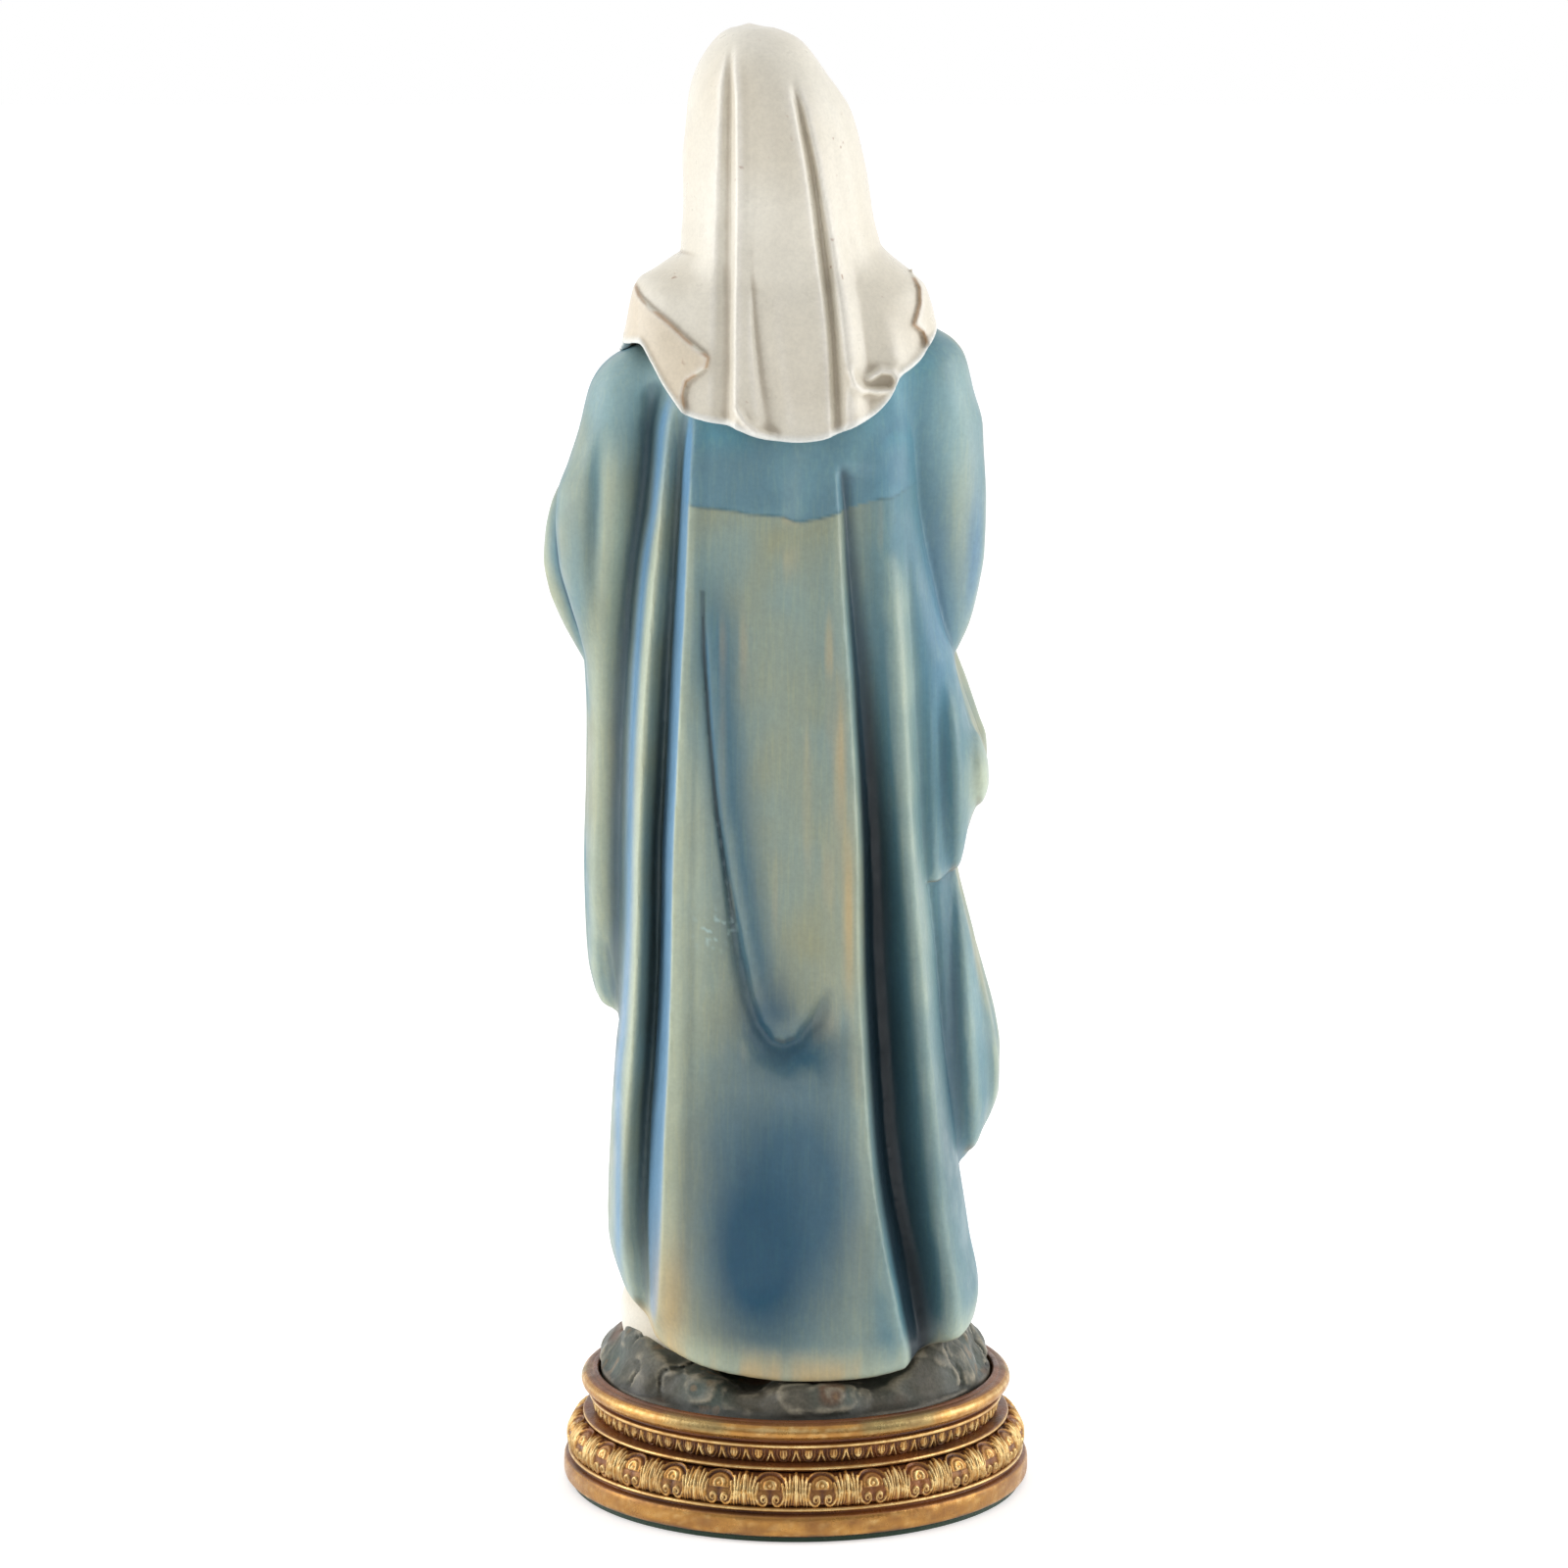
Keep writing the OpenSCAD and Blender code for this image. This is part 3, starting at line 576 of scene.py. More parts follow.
def veil_cover(b):
    """The veil as a solid: hood, cape over the mantle's shoulders, and folds."""
    x, y, z = b.x, b.y, b.z
    u, v = turned(b)
    middle = profile(HOOD_MIDDLE, z) - HEAD[0]
    hood = loft(u - middle, v, z, (0, 0), HOOD_LEFT, HOOD_RIGHT, HOOD_BACK, HOOD_FRONT, 2.15)
    hood = overlap(hood, z - 300.3 + 0.02 * ((x - 8.6) ** 2 + (y + 2) ** 2), 2)
    cape = mantle_solid(b, detail=False) - 1.3
    cape = join(cape, loft(x, y, z, (0, 0), CAPE_LEFT, CAPE_RIGHT, CAPE_BACK, CAPE_FRONT, 2.5), 1.5)
    cape = overlap(cape, z - 254, 4)
    chest = gown_field(b) - 2
    cover = join(join(hood, cape, 5), overlap(chest, z - 240, 3), 2)
    relief = folds(x, z, VEIL_FOLDS) * fade(y, 2, 9)
    hem = profile(VEIL_HEM, x)
    relief = relief + 0.7 * np.exp(-(((z - hem) / 1.3) ** 2)) * fade(y, 2, 8)
    flap = inside(x, z, LEFT_FLAP)
    relief = relief + 1.3 * fade(flap, -0.4, 0.3) * fade(y, 0, 6) * (1 - fade(x, 31, 35))
    flap = inside(x, z, RIGHT_FLAP)
    relief = relief + 1.1 * fade(flap, -0.4, 0.3) * fade(y, -2, 4)
    gap, share, side = stroke(x, z, HEM_LOOP)
    relief = relief + (1.7 * np.exp(-((gap / 0.85) ** 2))) * fade(y, 4, 9)
    gap = stroke(x, z, HEM_CURL)[0]
    relief = relief + 1.2 * np.exp(-((gap / 0.8) ** 2)) * fade(y, 4, 9)
    return cover - relief


def veil_field(b):
    x, y, z = b.x, b.y, b.z
    u, v = turned(b)
    cover = veil_cover(b)
    opening = loft(u, v, z, (0, -22), FACE_OPENING, FACE_OPENING, 13, 20, 2.2)
    opening = overlap(opening, z - 287.5 + 0.02 * u * u, 5)
    roll = 0.8 + 2.6 * fade(u, 6, 12) * fade(z, 262, 271) * (1 - fade(z, 283, 291))
    cover = cover - roll * np.exp(-((opening / 2.6) ** 2)) * fade(z, 222, 240)
    drape = pleats(np.arctan2(u, -v) * 3.2 + 0.3 * np.sin(z / 9))
    cover = cover - 0.6 * drape * fade(-v, 2, 8) * (1 - fade(z, 246, 268)) * fade(opening, 1, 4)
    shell = np.maximum(cover, -np.maximum(cover + 1.9, z - 294))
    shell = carve(shell, opening, 1)
    hem = profile(VEIL_HEM, x) * fade(y, -6, 3) + profile(VEIL_HEM_FRONT, x) * (1 - fade(y, -6, 3))
    shell = overlap(shell, (hem - z) * 0.8, 0.8)
    sides = np.maximum(x - profile(VEIL_LEFT, z), -x - profile(VEIL_RIGHT, z))
    return overlap(shell, sides, 1)


GRAINS = {"cloak": 0.55, "dress": 0.65, "veil": 0.42}

# ---------------------------------------------------------------- head, hair and hands

HEAD_MIDDLE = 273.4
HEAD_SCALE = 1.06
BOW = math.radians(9)


def head_places(b):
    """Places in the head's own directions: to its left, forward out of the face, and up."""
    dx, dy, dz = [(p - m) / HEAD_SCALE for p, m in ((b.x, HEAD[0]), (b.y, HEAD[1]), (b.z, HEAD_MIDDLE))]
    forward = dx * math.sin(TURN) - dy * math.cos(TURN)
    return (dx * math.cos(TURN) + dy * math.sin(TURN), forward * math.cos(BOW) - dz * math.sin(BOW),
            forward * math.sin(BOW) + dz * math.cos(BOW))


def sculpt_head():
    b = Block((-12, -22, 234), (24, 17, 295), 0.3)
    u, f, h = head_places(b)
    side = np.abs(u)
    skull = ball(u, f, h, (0, -1.6, 3.2), (11.8, 13.6, 14))
    face = ball(u, f, h, (0, 3.4, -4.6), (9.7, 9.8, 13))
    head = join(skull, face, 4)
    head = join(head, ball(side, f, h, (4.9, 7.7, -4.6), (4.2, 4.2, 4.6)), 4)
    head = join(head, ball(u, f, h, (0, 8.6, -13.8), (4, 4, 3.4)), 4.5)
    head = carve(head, ball(side, f, h, (4.1, 15.4, 0.6), (3.1, 3.6, 2.5)), 2.4)
    head = join(head, capsule(side, f, h, (1.6, 12.2, 3.5, 1.1), (7, 9.8, 3.3, 0.9)), 3)
    head = join(head, ball(side, f, h, (4.15, 10.2, -0.2), (2.75, 2.5, 2.1)), 0.7)
    lid = np.abs(h + 0.9 + 0.07 * (side - 4.15) ** 2 * -1)
    lash = 0.32 * np.exp(-((lid / 0.3) ** 2)) * (1 - fade(np.abs(side - 4.15), 2, 2.7)) * fade(f, 9, 10.5)
    crease = np.abs(h - 1.35 + 0.1 * (side - 4.15) ** 2)
    lash = lash + 0.25 * np.exp(-((crease / 0.35) ** 2)) * (1 - fade(np.abs(side - 4.15), 2, 2.9)) * fade(f, 9, 10.5)
    head = head + lash
    head = join(head, capsule(u, f, h, (0, 11.6, 1.8, 1.15), (0, 14.3, -4.4, 1.2)), 1.8)
    head = join(head, ball(u, f, h, (0, 14, -5), (1.5, 1.7, 1.25)), 1)
    head = join(head, ball(side, f, h, (1.5, 12.9, -5.3), (0.95, 1.5, 0.95)), 0.7)
    head = carve(head, ball(side, f, h, (0.85, 13.6, -6.5), (0.5, 0.9, 0.5)), 0.5)
    head = join(head, ball(u, f, h, (0, 11.4, -9.2), (3.6, 2.2, 2.8)), 3)
    head = join(head, capsule(side, f, h, (0.55, 13.2, -8.7, 0.62), (2.6, 12.2, -9.2, 0.3)), 0.7)
    head = join(head, capsule(side, f, h, (0, 13, -10.2, 0.85), (1.8, 12.4, -9.9, 0.45)), 0.8)
    mouth = np.abs(h + 9.4 + 0.12 * np.cos(side * 2.2))
    head = head + 0.35 * np.exp(-((mouth / 0.24) ** 2)) * (1 - fade(side, 2.3, 3)) * fade(f, 10.5, 12)
    head = carve(head, ball(u, f, h, (0, 14.3, -12), (2.4, 1.9, 0.9)), 1.6)
    head = carve(head, capsule(u, f, h, (0, 14.2, -6.8, 0.35), (0, 13.8, -8, 0.4)), 0.8)
    neck = capsule(b.x, b.y, b.z, (4.4, -2.2, 234, 9.4), (5, -1.5, 262, 6.4))
    head = join(head, neck, 3.5)
    return b, overlap(head, 235.5 - b.z, 0.4)


def sculpt_hair():
    b = Block((-14, -24, 250), (26, 18, 297), 0.32)
    u, f, h = head_places(b)
    side = np.abs(u)
    hair = ball(u, f, h, (0, -1.4, 3), (12.9, 14.7, 15.2))
    hair = join(hair, capsule(side, f, h, (10.4, 3.2, 2, 3.2), (10.2, 1.5, -10, 2.8)), 3)
    hair = join(hair, capsule(side, f, h, (10.2, 1.5, -10, 2.8), (9, 0, -19, 2.4)), 2)
    window = ball(u, f, h, (0, 13.5, -4.6), (9.5, 13, 13.6))
    part_line = 1.1 * np.exp(-((side / 0.9) ** 2)) * fade(h, 4, 8)
    flow = np.arctan2(h + 4, side + 2) * 13 + 0.8 * np.sin(side * 0.8 + h * 0.35)
    locks = 0.42 * np.sin(flow) + 0.18 * np.sin(2.3 * flow + 1)
    hair = hair - locks * fade(f, -4, 4) + part_line
    hair = carve(hair, window, 0.8)
    head_core = ball(u, f, h, (0, -1.6, 3.2), (11, 12.8, 13.2))
    hair = carve(hair, head_core, 0.4)
    return b, hair


def sculpt_hand(side):
    """One hand of the joined pair, palm against the middle, fingers up. side is 1 on the figure's left."""
    middle = 2
    b = Block((middle + (0 if side > 0 else -9), -50, 192), (middle + (9 if side > 0 else 0), -24, 236), 0.3)
    x, y, z = (b.x - middle) * side, b.y, b.z
    lean = math.radians(12)
    up = (z - 206) * math.cos(lean) - (y + 36) * math.sin(lean)
    out = (y + 36) * math.cos(lean) + (z - 206) * math.sin(lean)
    hand = ball(x, out, up, (1.2, -0.4, 1.5), (3.4, 6.2, 10))
    hand = join(hand, capsule(x, out, up, (3.2, 2.2, -9, 3.4), (2.6, 0.6, -2, 3)), 3)
    for k in range(4):
        across = -4.5 + 2.75 * k
        reach = (9.6, 12.6, 13.2, 12)[3 - k] if k else 9.8
        knuckle = (1.5, across * 0.92, 7, 1.65)
        mid = (1.35, across * 0.9, 7.5 + reach * 0.5, 1.5)
        tip = (0.85, across * 0.78, 7.5 + reach, 1.05)
        finger = join(capsule(x, out, up, knuckle, mid), capsule(x, out, up, mid, tip), 0.6)
        hand = join(hand, finger, 0.55)
    thumb = join(capsule(x, out, up, (2.4, 4.2, -1, 2), (2.3, 6.4, 4.4, 1.6)),
                 capsule(x, out, up, (2.3, 6.4, 4.4, 1.6), (1.2, 6.6, 9.4, 1.15)), 0.8)
    hand = join(hand, thumb, 1.4)
    return b, overlap(hand, 0.06 - x, 0.3)


def sculpt_sleeve(side):
    """A sleeve of the gown, from under the mantle to its open end at the wrist."""
    middle = 2
    b = Block((middle - 27 if side < 0 else middle, -44, 180), (middle if side < 0 else middle + 27, -10, 216), 0.4)
    x, y, z = (b.x - middle) * side, b.y, b.z
    path = [(21, -22.6, 194, 5.4), (15, -27.8, 195.6, 6.7), (9.6, -32, 197.4, 6.8), (5.2, -34.8, 199.6, 5.9)]
    field = b.empty()
    for p, q in zip(path, path[1:]):
        field = join(field, capsule(x, y, z, p, q), 2.5)
    drop = join(field, capsule(x, y, z, (12.6, -27, 191, 4.8), (8, -31, 192, 4.2)), 4)
    along = (x * -0.8 + y * -0.45 + z * 0.35)
    wrinkles = 0.42 * np.sin(along * 1.05 + 0.5 * np.sin(z * 0.5)) + 0.2 * np.sin(along * 2.1 + y * 0.4)
    sleeve = drop + wrinkles * fade(z, 188, 200)
    end = (x - 3.6) * 0.78 + (-34.5 - y) * -0.45 + (z - 203) * -0.45
    sleeve = overlap(sleeve, -end, 1.4)
    hollow = join(capsule(x, y, z, (2, -37.4, 203, 4.2), (8.6, -32.6, 198, 4.4)), b.empty(), 0.1)
    sleeve = carve(sleeve, hollow, 0.8)
    sleeve = carve(sleeve, gown_field(b) - 0.1, 0.4)
    sleeve = carve(sleeve, mantle_field(b) + 0.4, 0.4)
    return b, overlap(sleeve, 0.5 - x, 0.6)


def sculpt_gown():
    b = Block((-40, -40, 27), (40, 28, 248), GRAINS["dress"])
    return b, gown_piece_field(b)


def sculpt_mantle():
    b = Block((-54, -42, 26), (54, 40, 246), GRAINS["cloak"])
    return b, mantle_field(b)


def sculpt_veil():
    b = Block((-40, -28, 214), (44, 32, 302), GRAINS["veil"])
    field = carve(veil_field(b), mantle_solid(b) - 0.1, 0.3)
    chest = overlap(gown_field(b), b.z - 246, 1)
    return b, carve(field, chest - 0.1, 0.3)


# ---------------------------------------------------------------- the base

PLINTH_PROFILE = [
    (2, 1), (46.8, 1), (48, 1.5), (48.3, 2.2), (48.3, 4.9), (47.9, 5.6), (46.9, 5.8), (46.7, 6.1), (47.3, 6.4),
    (47.4, 6.8), (47, 7.2), (44.6, 7.3), (42.8, 13.3), (43.4, 13.6), (44.1, 13.9), (44.3, 14.4), (44, 14.8),
    (42.8, 14.9), (40.6, 15), (40.6, 17.9), (42.6, 18), (43, 18.3), (43, 18.9), (42.6, 19.1), (42.2, 19.3),
    (42.6, 19.5), (43, 19.6), (42.9, 19.85), (43.6, 20.1), (44.4, 20.8), (44.6, 21.6), (44.3, 22.5), (43.5, 23.2),
    (42.7, 23.4), (42.3, 23.3), (41.9, 23.6), (41.2, 23.7), (40.9, 23.3), (40.9, 18.2), (2, 18.2)]
LEAF_COUNT, EGG_COUNT = 28, 52


def rounded(points, times=2):
    """Cuts the corners of an open line, so that they come out as small curves."""
    points = np.array(points, float)
    for _ in range(times):
        near, far = points[:-1], points[1:]
        cut = np.stack([0.8 * near + 0.2 * far, 0.2 * near + 0.8 * far], 1).reshape(-1, 2)
        points = np.vstack([points[:1], cut[1:-1], points[-1:]])
    return points


def ring_faces(around, rows, closed):
    """Quads of a grid of rows that each go once round."""
    j = np.arange(around)
    i = np.arange(rows if closed else rows - 1)[:, None]
    a, b = i * around + j, i * around + (j + 1) % around
    up = around * ((i + 1) % rows) - around * i
    return np.stack([a, b, b + up, a + up], -1).reshape(-1, 4)


def turned_solid(line, around):
    """Points and faces of a lathe solid from (radius, height) points."""
    angle = 2 * np.pi * np.arange(around) / around
    points = np.stack([np.outer(line[:, 0], np.cos(angle)), np.outer(line[:, 0], np.sin(angle)),
                       np.repeat(line[:, 1:], around, 1)], -1)
    return points.reshape(-1, 3), ring_faces(around, len(line), False)


def relief_bar(gap, width, height):
    """Height of a rounded bar at a distance from its middle line."""
    return height * np.sqrt(np.clip(1 - (gap / width) ** 2, 0, 1))


def leaf_relief(u, v):
    """One acanthus motif: u runs from -5.4 to 5.4 round the band, and v from 0 to 6.2 up it."""
    s = np.abs(u)
    ring = np.hypot(u / 2.7, (v - 3.5) / 2.2)
    dome = np.where(v > 2.9, relief_bar(ring, 1, 1.0) * (0.86 + 0.16 * np.cos(ring * 17)), 0)
    height = dome
    arch = np.abs(np.hypot(u / 3.25, (v - 3.3) / 2.75) - 1) * 2.9
    height = np.maximum(height, relief_bar(arch, 0.26, 0.85) * fade(v, 3.6, 4.4))
    du, dv = s - 1.3, v - 1.45
    turn, reach = np.arctan2(dv, -du), np.hypot(du, dv)
    for lap in (0, 1):
        spiral = 1.25 * np.exp(-0.17 * (turn + np.pi + 2 * np.pi * lap))
        height = np.maximum(height, relief_bar(np.abs(reach - spiral), 0.27, 1.05) * fade(reach, 0.1, 0.3))
    body = relief_bar(np.hypot((s - 1.6) / 2.2, (v - 2.2) / 1.5), 1, 0.55)
    height = np.maximum(height, body)
    blades = [((2.5, 0.5), (2.9, 2.2), (2.5, 3.9), 0.42, 0.95), ((3.1, 0.5), (3.5, 2.6), (3.1, 4.9), 0.42, 1.05),
              ((3.7, 0.6), (4.05, 3), (3.95, 5.5), 0.4, 1.0), ((4.3, 0.8), (4.55, 3), (4.75, 5.1), 0.36, 0.95),
              ((5.3, 0.3), (5.25, 3), (5.2, 5.9), 0.42, 1.1), ((4.8, 0.4), (4.9, 1.4), (4.9, 2.6), 0.3, 0.8)]
    for low, mid, high, width, tall in blades:
        gap, share, _ = stroke(s, v, [low, mid, high])
        height = np.maximum(height, relief_bar(gap, width * (0.55 + 0.9 * share * (1.25 - share)), tall))
    foot = relief_bar(np.abs(v - 0.45 - 0.35 * np.cos(u * 1.17)), 0.4, 0.5)
    return np.maximum(height, foot)


def egg_relief(u, v):
    """One egg and dart: u runs from -2.6 to 2.6, and v from 0 to 3."""
    s = np.abs(u)
    height = relief_bar(np.hypot(u / 0.95, (v - 1.75) / 1.35), 1, 0.45)
    height = np.maximum(height, relief_bar(stroke(s, v, [(0, 2.8), (0, 0.7)])[0], 0.3, 0.85))
    height = np.maximum(height, relief_bar(stroke(s, v, [(0.5, 2.8), (0.62, 1.7), (0.3, 0.8)])[0], 0.24, 0.75))
    height = np.maximum(height, relief_bar(stroke(s, v, [(1.25, 2.9), (1.3, 1.5), (0.75, 0.35), (0, 0.1)])[0], 0.2, 0.5))
    height = np.maximum(height, relief_bar(stroke(s, v, [(2.45, 2.8), (2.2, 1.4), (1.75, 0.25)])[0], 0.3, 0.8))
    return np.maximum(height, relief_bar(np.abs(v - 2.95), 0.25, 0.5))


def carved_ring(name, wall, inner, count, cell_steps, relief_of, tall):
    """A moulded band: a wall line of (radius, height) points that carries a relief for each repeat."""
    line = np.array(wall)
    lengths = np.concatenate([[0], np.cumsum(np.hypot(*np.diff(line, axis=0).T))])
    v = np.linspace(0, lengths[-1], int(lengths[-1] / 0.17))
    r, z = np.interp(v, lengths, line[:, 0]), np.interp(v, lengths, line[:, 1])
    slope = np.gradient(z, v), -np.gradient(r, v)
    around = count * cell_steps
    angle = 2 * np.pi * np.arange(around) / around
    share = (np.arange(around) % cell_steps) / cell_steps - 0.5
    width = 2 * np.pi * 47 / count if count == LEAF_COUNT else 2 * np.pi * 42 / count
    raised = relief_of((share * width)[None, :], v[:, None] * (tall / lengths[-1])).astype(np.float64)
    raised = raised * np.sin(np.pi * np.linspace(0.02, 0.98, len(v)))[:, None] ** 0.25
    radius = r[:, None] + raised * slope[0][:, None]
    height = z[:, None] + raised * slope[1][:, None]
    radius = np.vstack([np.full(around, inner), radius, np.full(around, inner)])
    height = np.vstack([np.full(around, line[0, 1]), height, np.full(around, line[-1, 1])])
    points = np.stack([radius * np.cos(angle), radius * np.sin(angle), height], -1).reshape(-1, 3)
    faces = ring_faces(around, len(radius), True)
    obj = new_mesh(name, points, faces)
    high = np.concatenate([np.zeros(around), raised.ravel(), np.zeros(around)])
    return obj, high


def sculpt_rock():
    b = Block((-43, -43, 17.6), (43, 43, 38), 0.45)
    x, y, z = b.x, b.y, b.z
    reach = np.hypot(x, y)
    angle = np.arctan2(y, x)
    broad = noise(x, y, 2 * z, 11, 3)
    ridges = np.abs(noise(x, y, 1.5 * z, 8, 5))
    edge = 40.3 - 0.16 * np.maximum(z - 23, 0) ** 1.5 + 0.5 * np.sin(5 * angle + 1)
    wall = reach - np.where(z > 23.6, edge, 40.4)
    lift = 6.2 * fade(np.abs(np.cos(angle + 0.12)), 0.5, 0.95) * fade(reach, 20, 33)
    top = z - (27.6 + lift - 4.6 * fade(reach, 34, 41) + 1.1 * broad)
    rock = overlap(wall, top * 0.75, 2.5)
    cracks = 0.9 * np.exp(-((ridges / 0.05) ** 2)) * fade(noise(x, y, z, 12, 15), -0.1, 0.5)
    wobble = 2.5 * noise(x, y, z, 7, 13)
    facets = noise(x + wobble, y, z, 9, 11) + 0.2 * noise(x, y + wobble, z, 3.4, 12)
    ledges = np.round(facets * 2) / 2
    rough = (cracks - 1.9 * (0.2 * ledges + 0.8 * facets)) * fade(z, 23.4, 25)
    return b, overlap(rock + rough, 18.3 - z, 0.3)

# ---------------------------------------------------------------- paint on the surface


def tint(red, green, blue):
    """A linear colour from the usual 0 to 255 values."""
    share = np.array([red, green, blue], float) / 255
    return np.where(share <= 0.04045, share / 12.92, ((share + 0.055) / 1.055) ** 2.4)


def coat(under, over, amount):
    """Lays one colour over another, by an amount from 0 to 1 at each point."""
    return under + (over - under) * np.clip(amount, 0, 1)[:, None]


def patch(x, z, middle, reach):
    """1 in the middle of an airbrushed patch, and 0 outside it."""
    return np.exp(-(((x - middle[0]) / reach[0]) ** 2) - ((z - middle[1]) / reach[1]) ** 2)


def surface_normals(points, faces):
    a, b = points[faces[:, 2]] - points[faces[:, 0]], points[faces[:, -1]] - points[faces[:, 1]]
    face = np.cross(a, b)
    total = np.stack([sum(np.bincount(faces[:, k], face[:, axis], len(points)) for k in range(faces.shape[1]))
                      for axis in range(3)], 1)
    return total / np.maximum(np.linalg.norm(total, axis=1), 1e-9)[:, None]


def hollows(points, faces, rounds):
    """How deep each point lies below its surroundings in millimetres, and below 0 on ridges."""
    even = points
    for _ in range(rounds):
        even = relaxed(even, faces, 0.8)
    return ((even - points) * surface_normals(points, faces)).sum(1)


def mantle_paint(points, faces):
    x, y, z = points.T
    behind = fade(y, 0, 6)
    plain = np.ones((len(x), 1))
    hollow = hollows(points, faces, 45)
    relief = back_relief(x, z) * behind
    climb = (back_relief(x - 0.5, z) - back_relief(x + 0.5, z)) * behind
    long_streak = noise(x, y * 0.5, z / 12, 2.1, 21)
    drift = 7 * noise(z, x, y, 13, 27)
    cloud = 0.7 * noise(x + drift, y - drift, z + 0.6 * x + drift, 17, 22) + 0.3 * noise(x + 0.5 * z, y, z - 0.5 * x, 6, 23)
    normal_down = -surface_normals(points, faces)[:, 2]
    edge_x = profile([(p[0], p[1]) for p in BACK_FOLDS[7]["at"]], z)
    crest_x = profile([(p[0], p[1]) for p in BACK_FOLDS[9]["at"]], z)

    olive, cream, orange = tint(152, 156, 130), tint(198, 208, 182), tint(206, 174, 118)
    blue, deep, night = tint(72, 124, 142), tint(30, 78, 104), tint(18, 42, 54)
    light_blue, mist, slate = tint(100, 150, 192), tint(128, 162, 168), tint(52, 82, 100)

    def spot(color, over, middle, reach, amount, where=behind):
        return coat(color, over, where * patch(x, z, middle, reach) * amount)

    color = olive * plain
    color = coat(color, mist, 0.35 + 0.5 * cloud)
    color = coat(color, blue, (1 - behind) * (0.3 + 0.9 * cloud))
    color = coat(color, blue, behind * fade(-x, 12, 20) * 0.85)
    color = spot(color, blue, (-15, 175), (9, 32), 0.6)
    beside = profile([(p[1], p[0]) for p in SWAG_CREASE[:8]], z) - x
    streak = np.exp(-(((beside - 2.6) / 4.8) ** 2)) * fade(z, 100, 116) * (1 - fade(z, 176, 200))
    color = coat(color, tint(60, 102, 122), behind * streak * 0.95)
    color = spot(color, blue, (19, 176), (4, 26), 0.5)
    color = spot(color, cream, (21, 130), (3, 40), 0.45)
    color = spot(color, tint(100, 126, 132), (14, 80), (9, 16), 0.7)
    color = spot(color, tint(68, 104, 122), (0, 68), (15, 25), 1.25)
    color = spot(color, deep, (7.4, 56), (11.5, 21), 1.3)
    color = spot(color, deep, (6, 103), (6.5, 9), 0.9)
    color = spot(color, tint(42, 88, 110), (-0.5, 96), (10.5, 7), 1.0)
    color = spot(color, tint(96, 134, 152), (-28, 193), (4.6, 18), 0.9)
    color = spot(color, blue, (-31, 160), (6, 16), 0.8)
    color = spot(color, slate, (-32, 95), (3, 28), 0.75)
    color = spot(color, blue, (40, 208), (1.8, 14), 0.8)
    color = spot(color, blue, (44, 186), (3, 16), 0.6, 1.0)
    color = spot(color, blue, (45, 130), (2.4, 34), 0.5, 1.0)

    color = coat(color, cream, fade(relief, 0.8, 2.6) * (0.7 + 0.25 * cloud) * (0.15 + 0.85 * fade(x, 5, 15)) * (x > -16))
    # Light patches near the cloth's side edges: painted highlights where the side light catches it.
    color = spot(color, cream, (39.2, 130), (1.8, 50), 0.9)
    color = spot(color, cream, (37.4, 200), (1.7, 22), 0.7)
    color = spot(color, cream, (-37.5, 148), (3, 9), 0.85)
    color = spot(color, mist, (-36, 96), (2.4, 24), 0.9)
    color = spot(color, cream, (-34, 210), (3.4, 30), 0.7)
    color = coat(color, cream, fade(-hollow, 0.1, 0.5) * (0.5 + 0.4 * cloud) * (1 - 0.6 * behind))
    warm = fade(long_streak, 0.1, 0.9) * fade(cloud, -0.5, 0.3)
    color = coat(color, orange, warm * 0.42 * (1 - fade(np.abs(x + 2), 12, 22)) * fade(z, 86, 110))
    strip = np.exp(-(((x - edge_x - 1.8) / 1.1) ** 2)) * fade(z, 84, 110) * (1 - fade(z, 150, 185))
    color = coat(color, orange, behind * strip * (0.45 + 0.5 * long_streak))

    tide = profile([(-40, 214), (-21.7, 208.5), (-13, 206.2), (-2.4, 203.3), (2, 204), (10, 205), (22, 206.4), (32, 211),
                    (46, 222)], x) + 0.5 * noise(x, y, z * 0, 3.2, 25)
    middle = fade(x, -26, -19) * (1 - fade(x, 20, 24)) * behind
    soft = fade(z, tide - 6, tide + 8)
    yoke = middle * fade(z, tide - 0.15, tide + 0.15) + (1 - middle) * 0.5 * soft * behind
    teal = coat(tint(82, 130, 152) * plain, tint(124, 172, 186), 0.25 + 0.9 * cloud)
    color = coat(color, teal, yoke * (0.8 - 0.35 * fade(relief, 1, 2.4)))
    color = coat(color, tint(92, 136, 152), (1 - behind) * fade(z, 205, 228) * (0.5 + 0.5 * cloud))
    line = np.exp(-(((z - tide) / 0.3) ** 2)) * middle * fade(relief, -1.2, -0.4)
    color = coat(color, tint(64, 98, 108), line * 0.6)
    color = coat(color, tint(78, 150, 170), yoke * fade(z, 214, 222) * fade(np.abs(cloud), 0.2, 0.6) * 0.5)
    color = spot(color, tint(150, 182, 184), (-31, 220), (5, 12), 0.6)
    color = spot(color, tint(84, 132, 170), (-36.6, 190), (2.6, 20), 0.8)
    color = spot(color, tint(92, 140, 172), (-29, 178), (3.5, 14), 0.5)
    color = spot(color, tint(152, 190, 198), (33, 226), (7, 11), 0.85)
    color = spot(color, tint(188, 206, 188), (34.6, 190), (2.6, 26), 0.7)
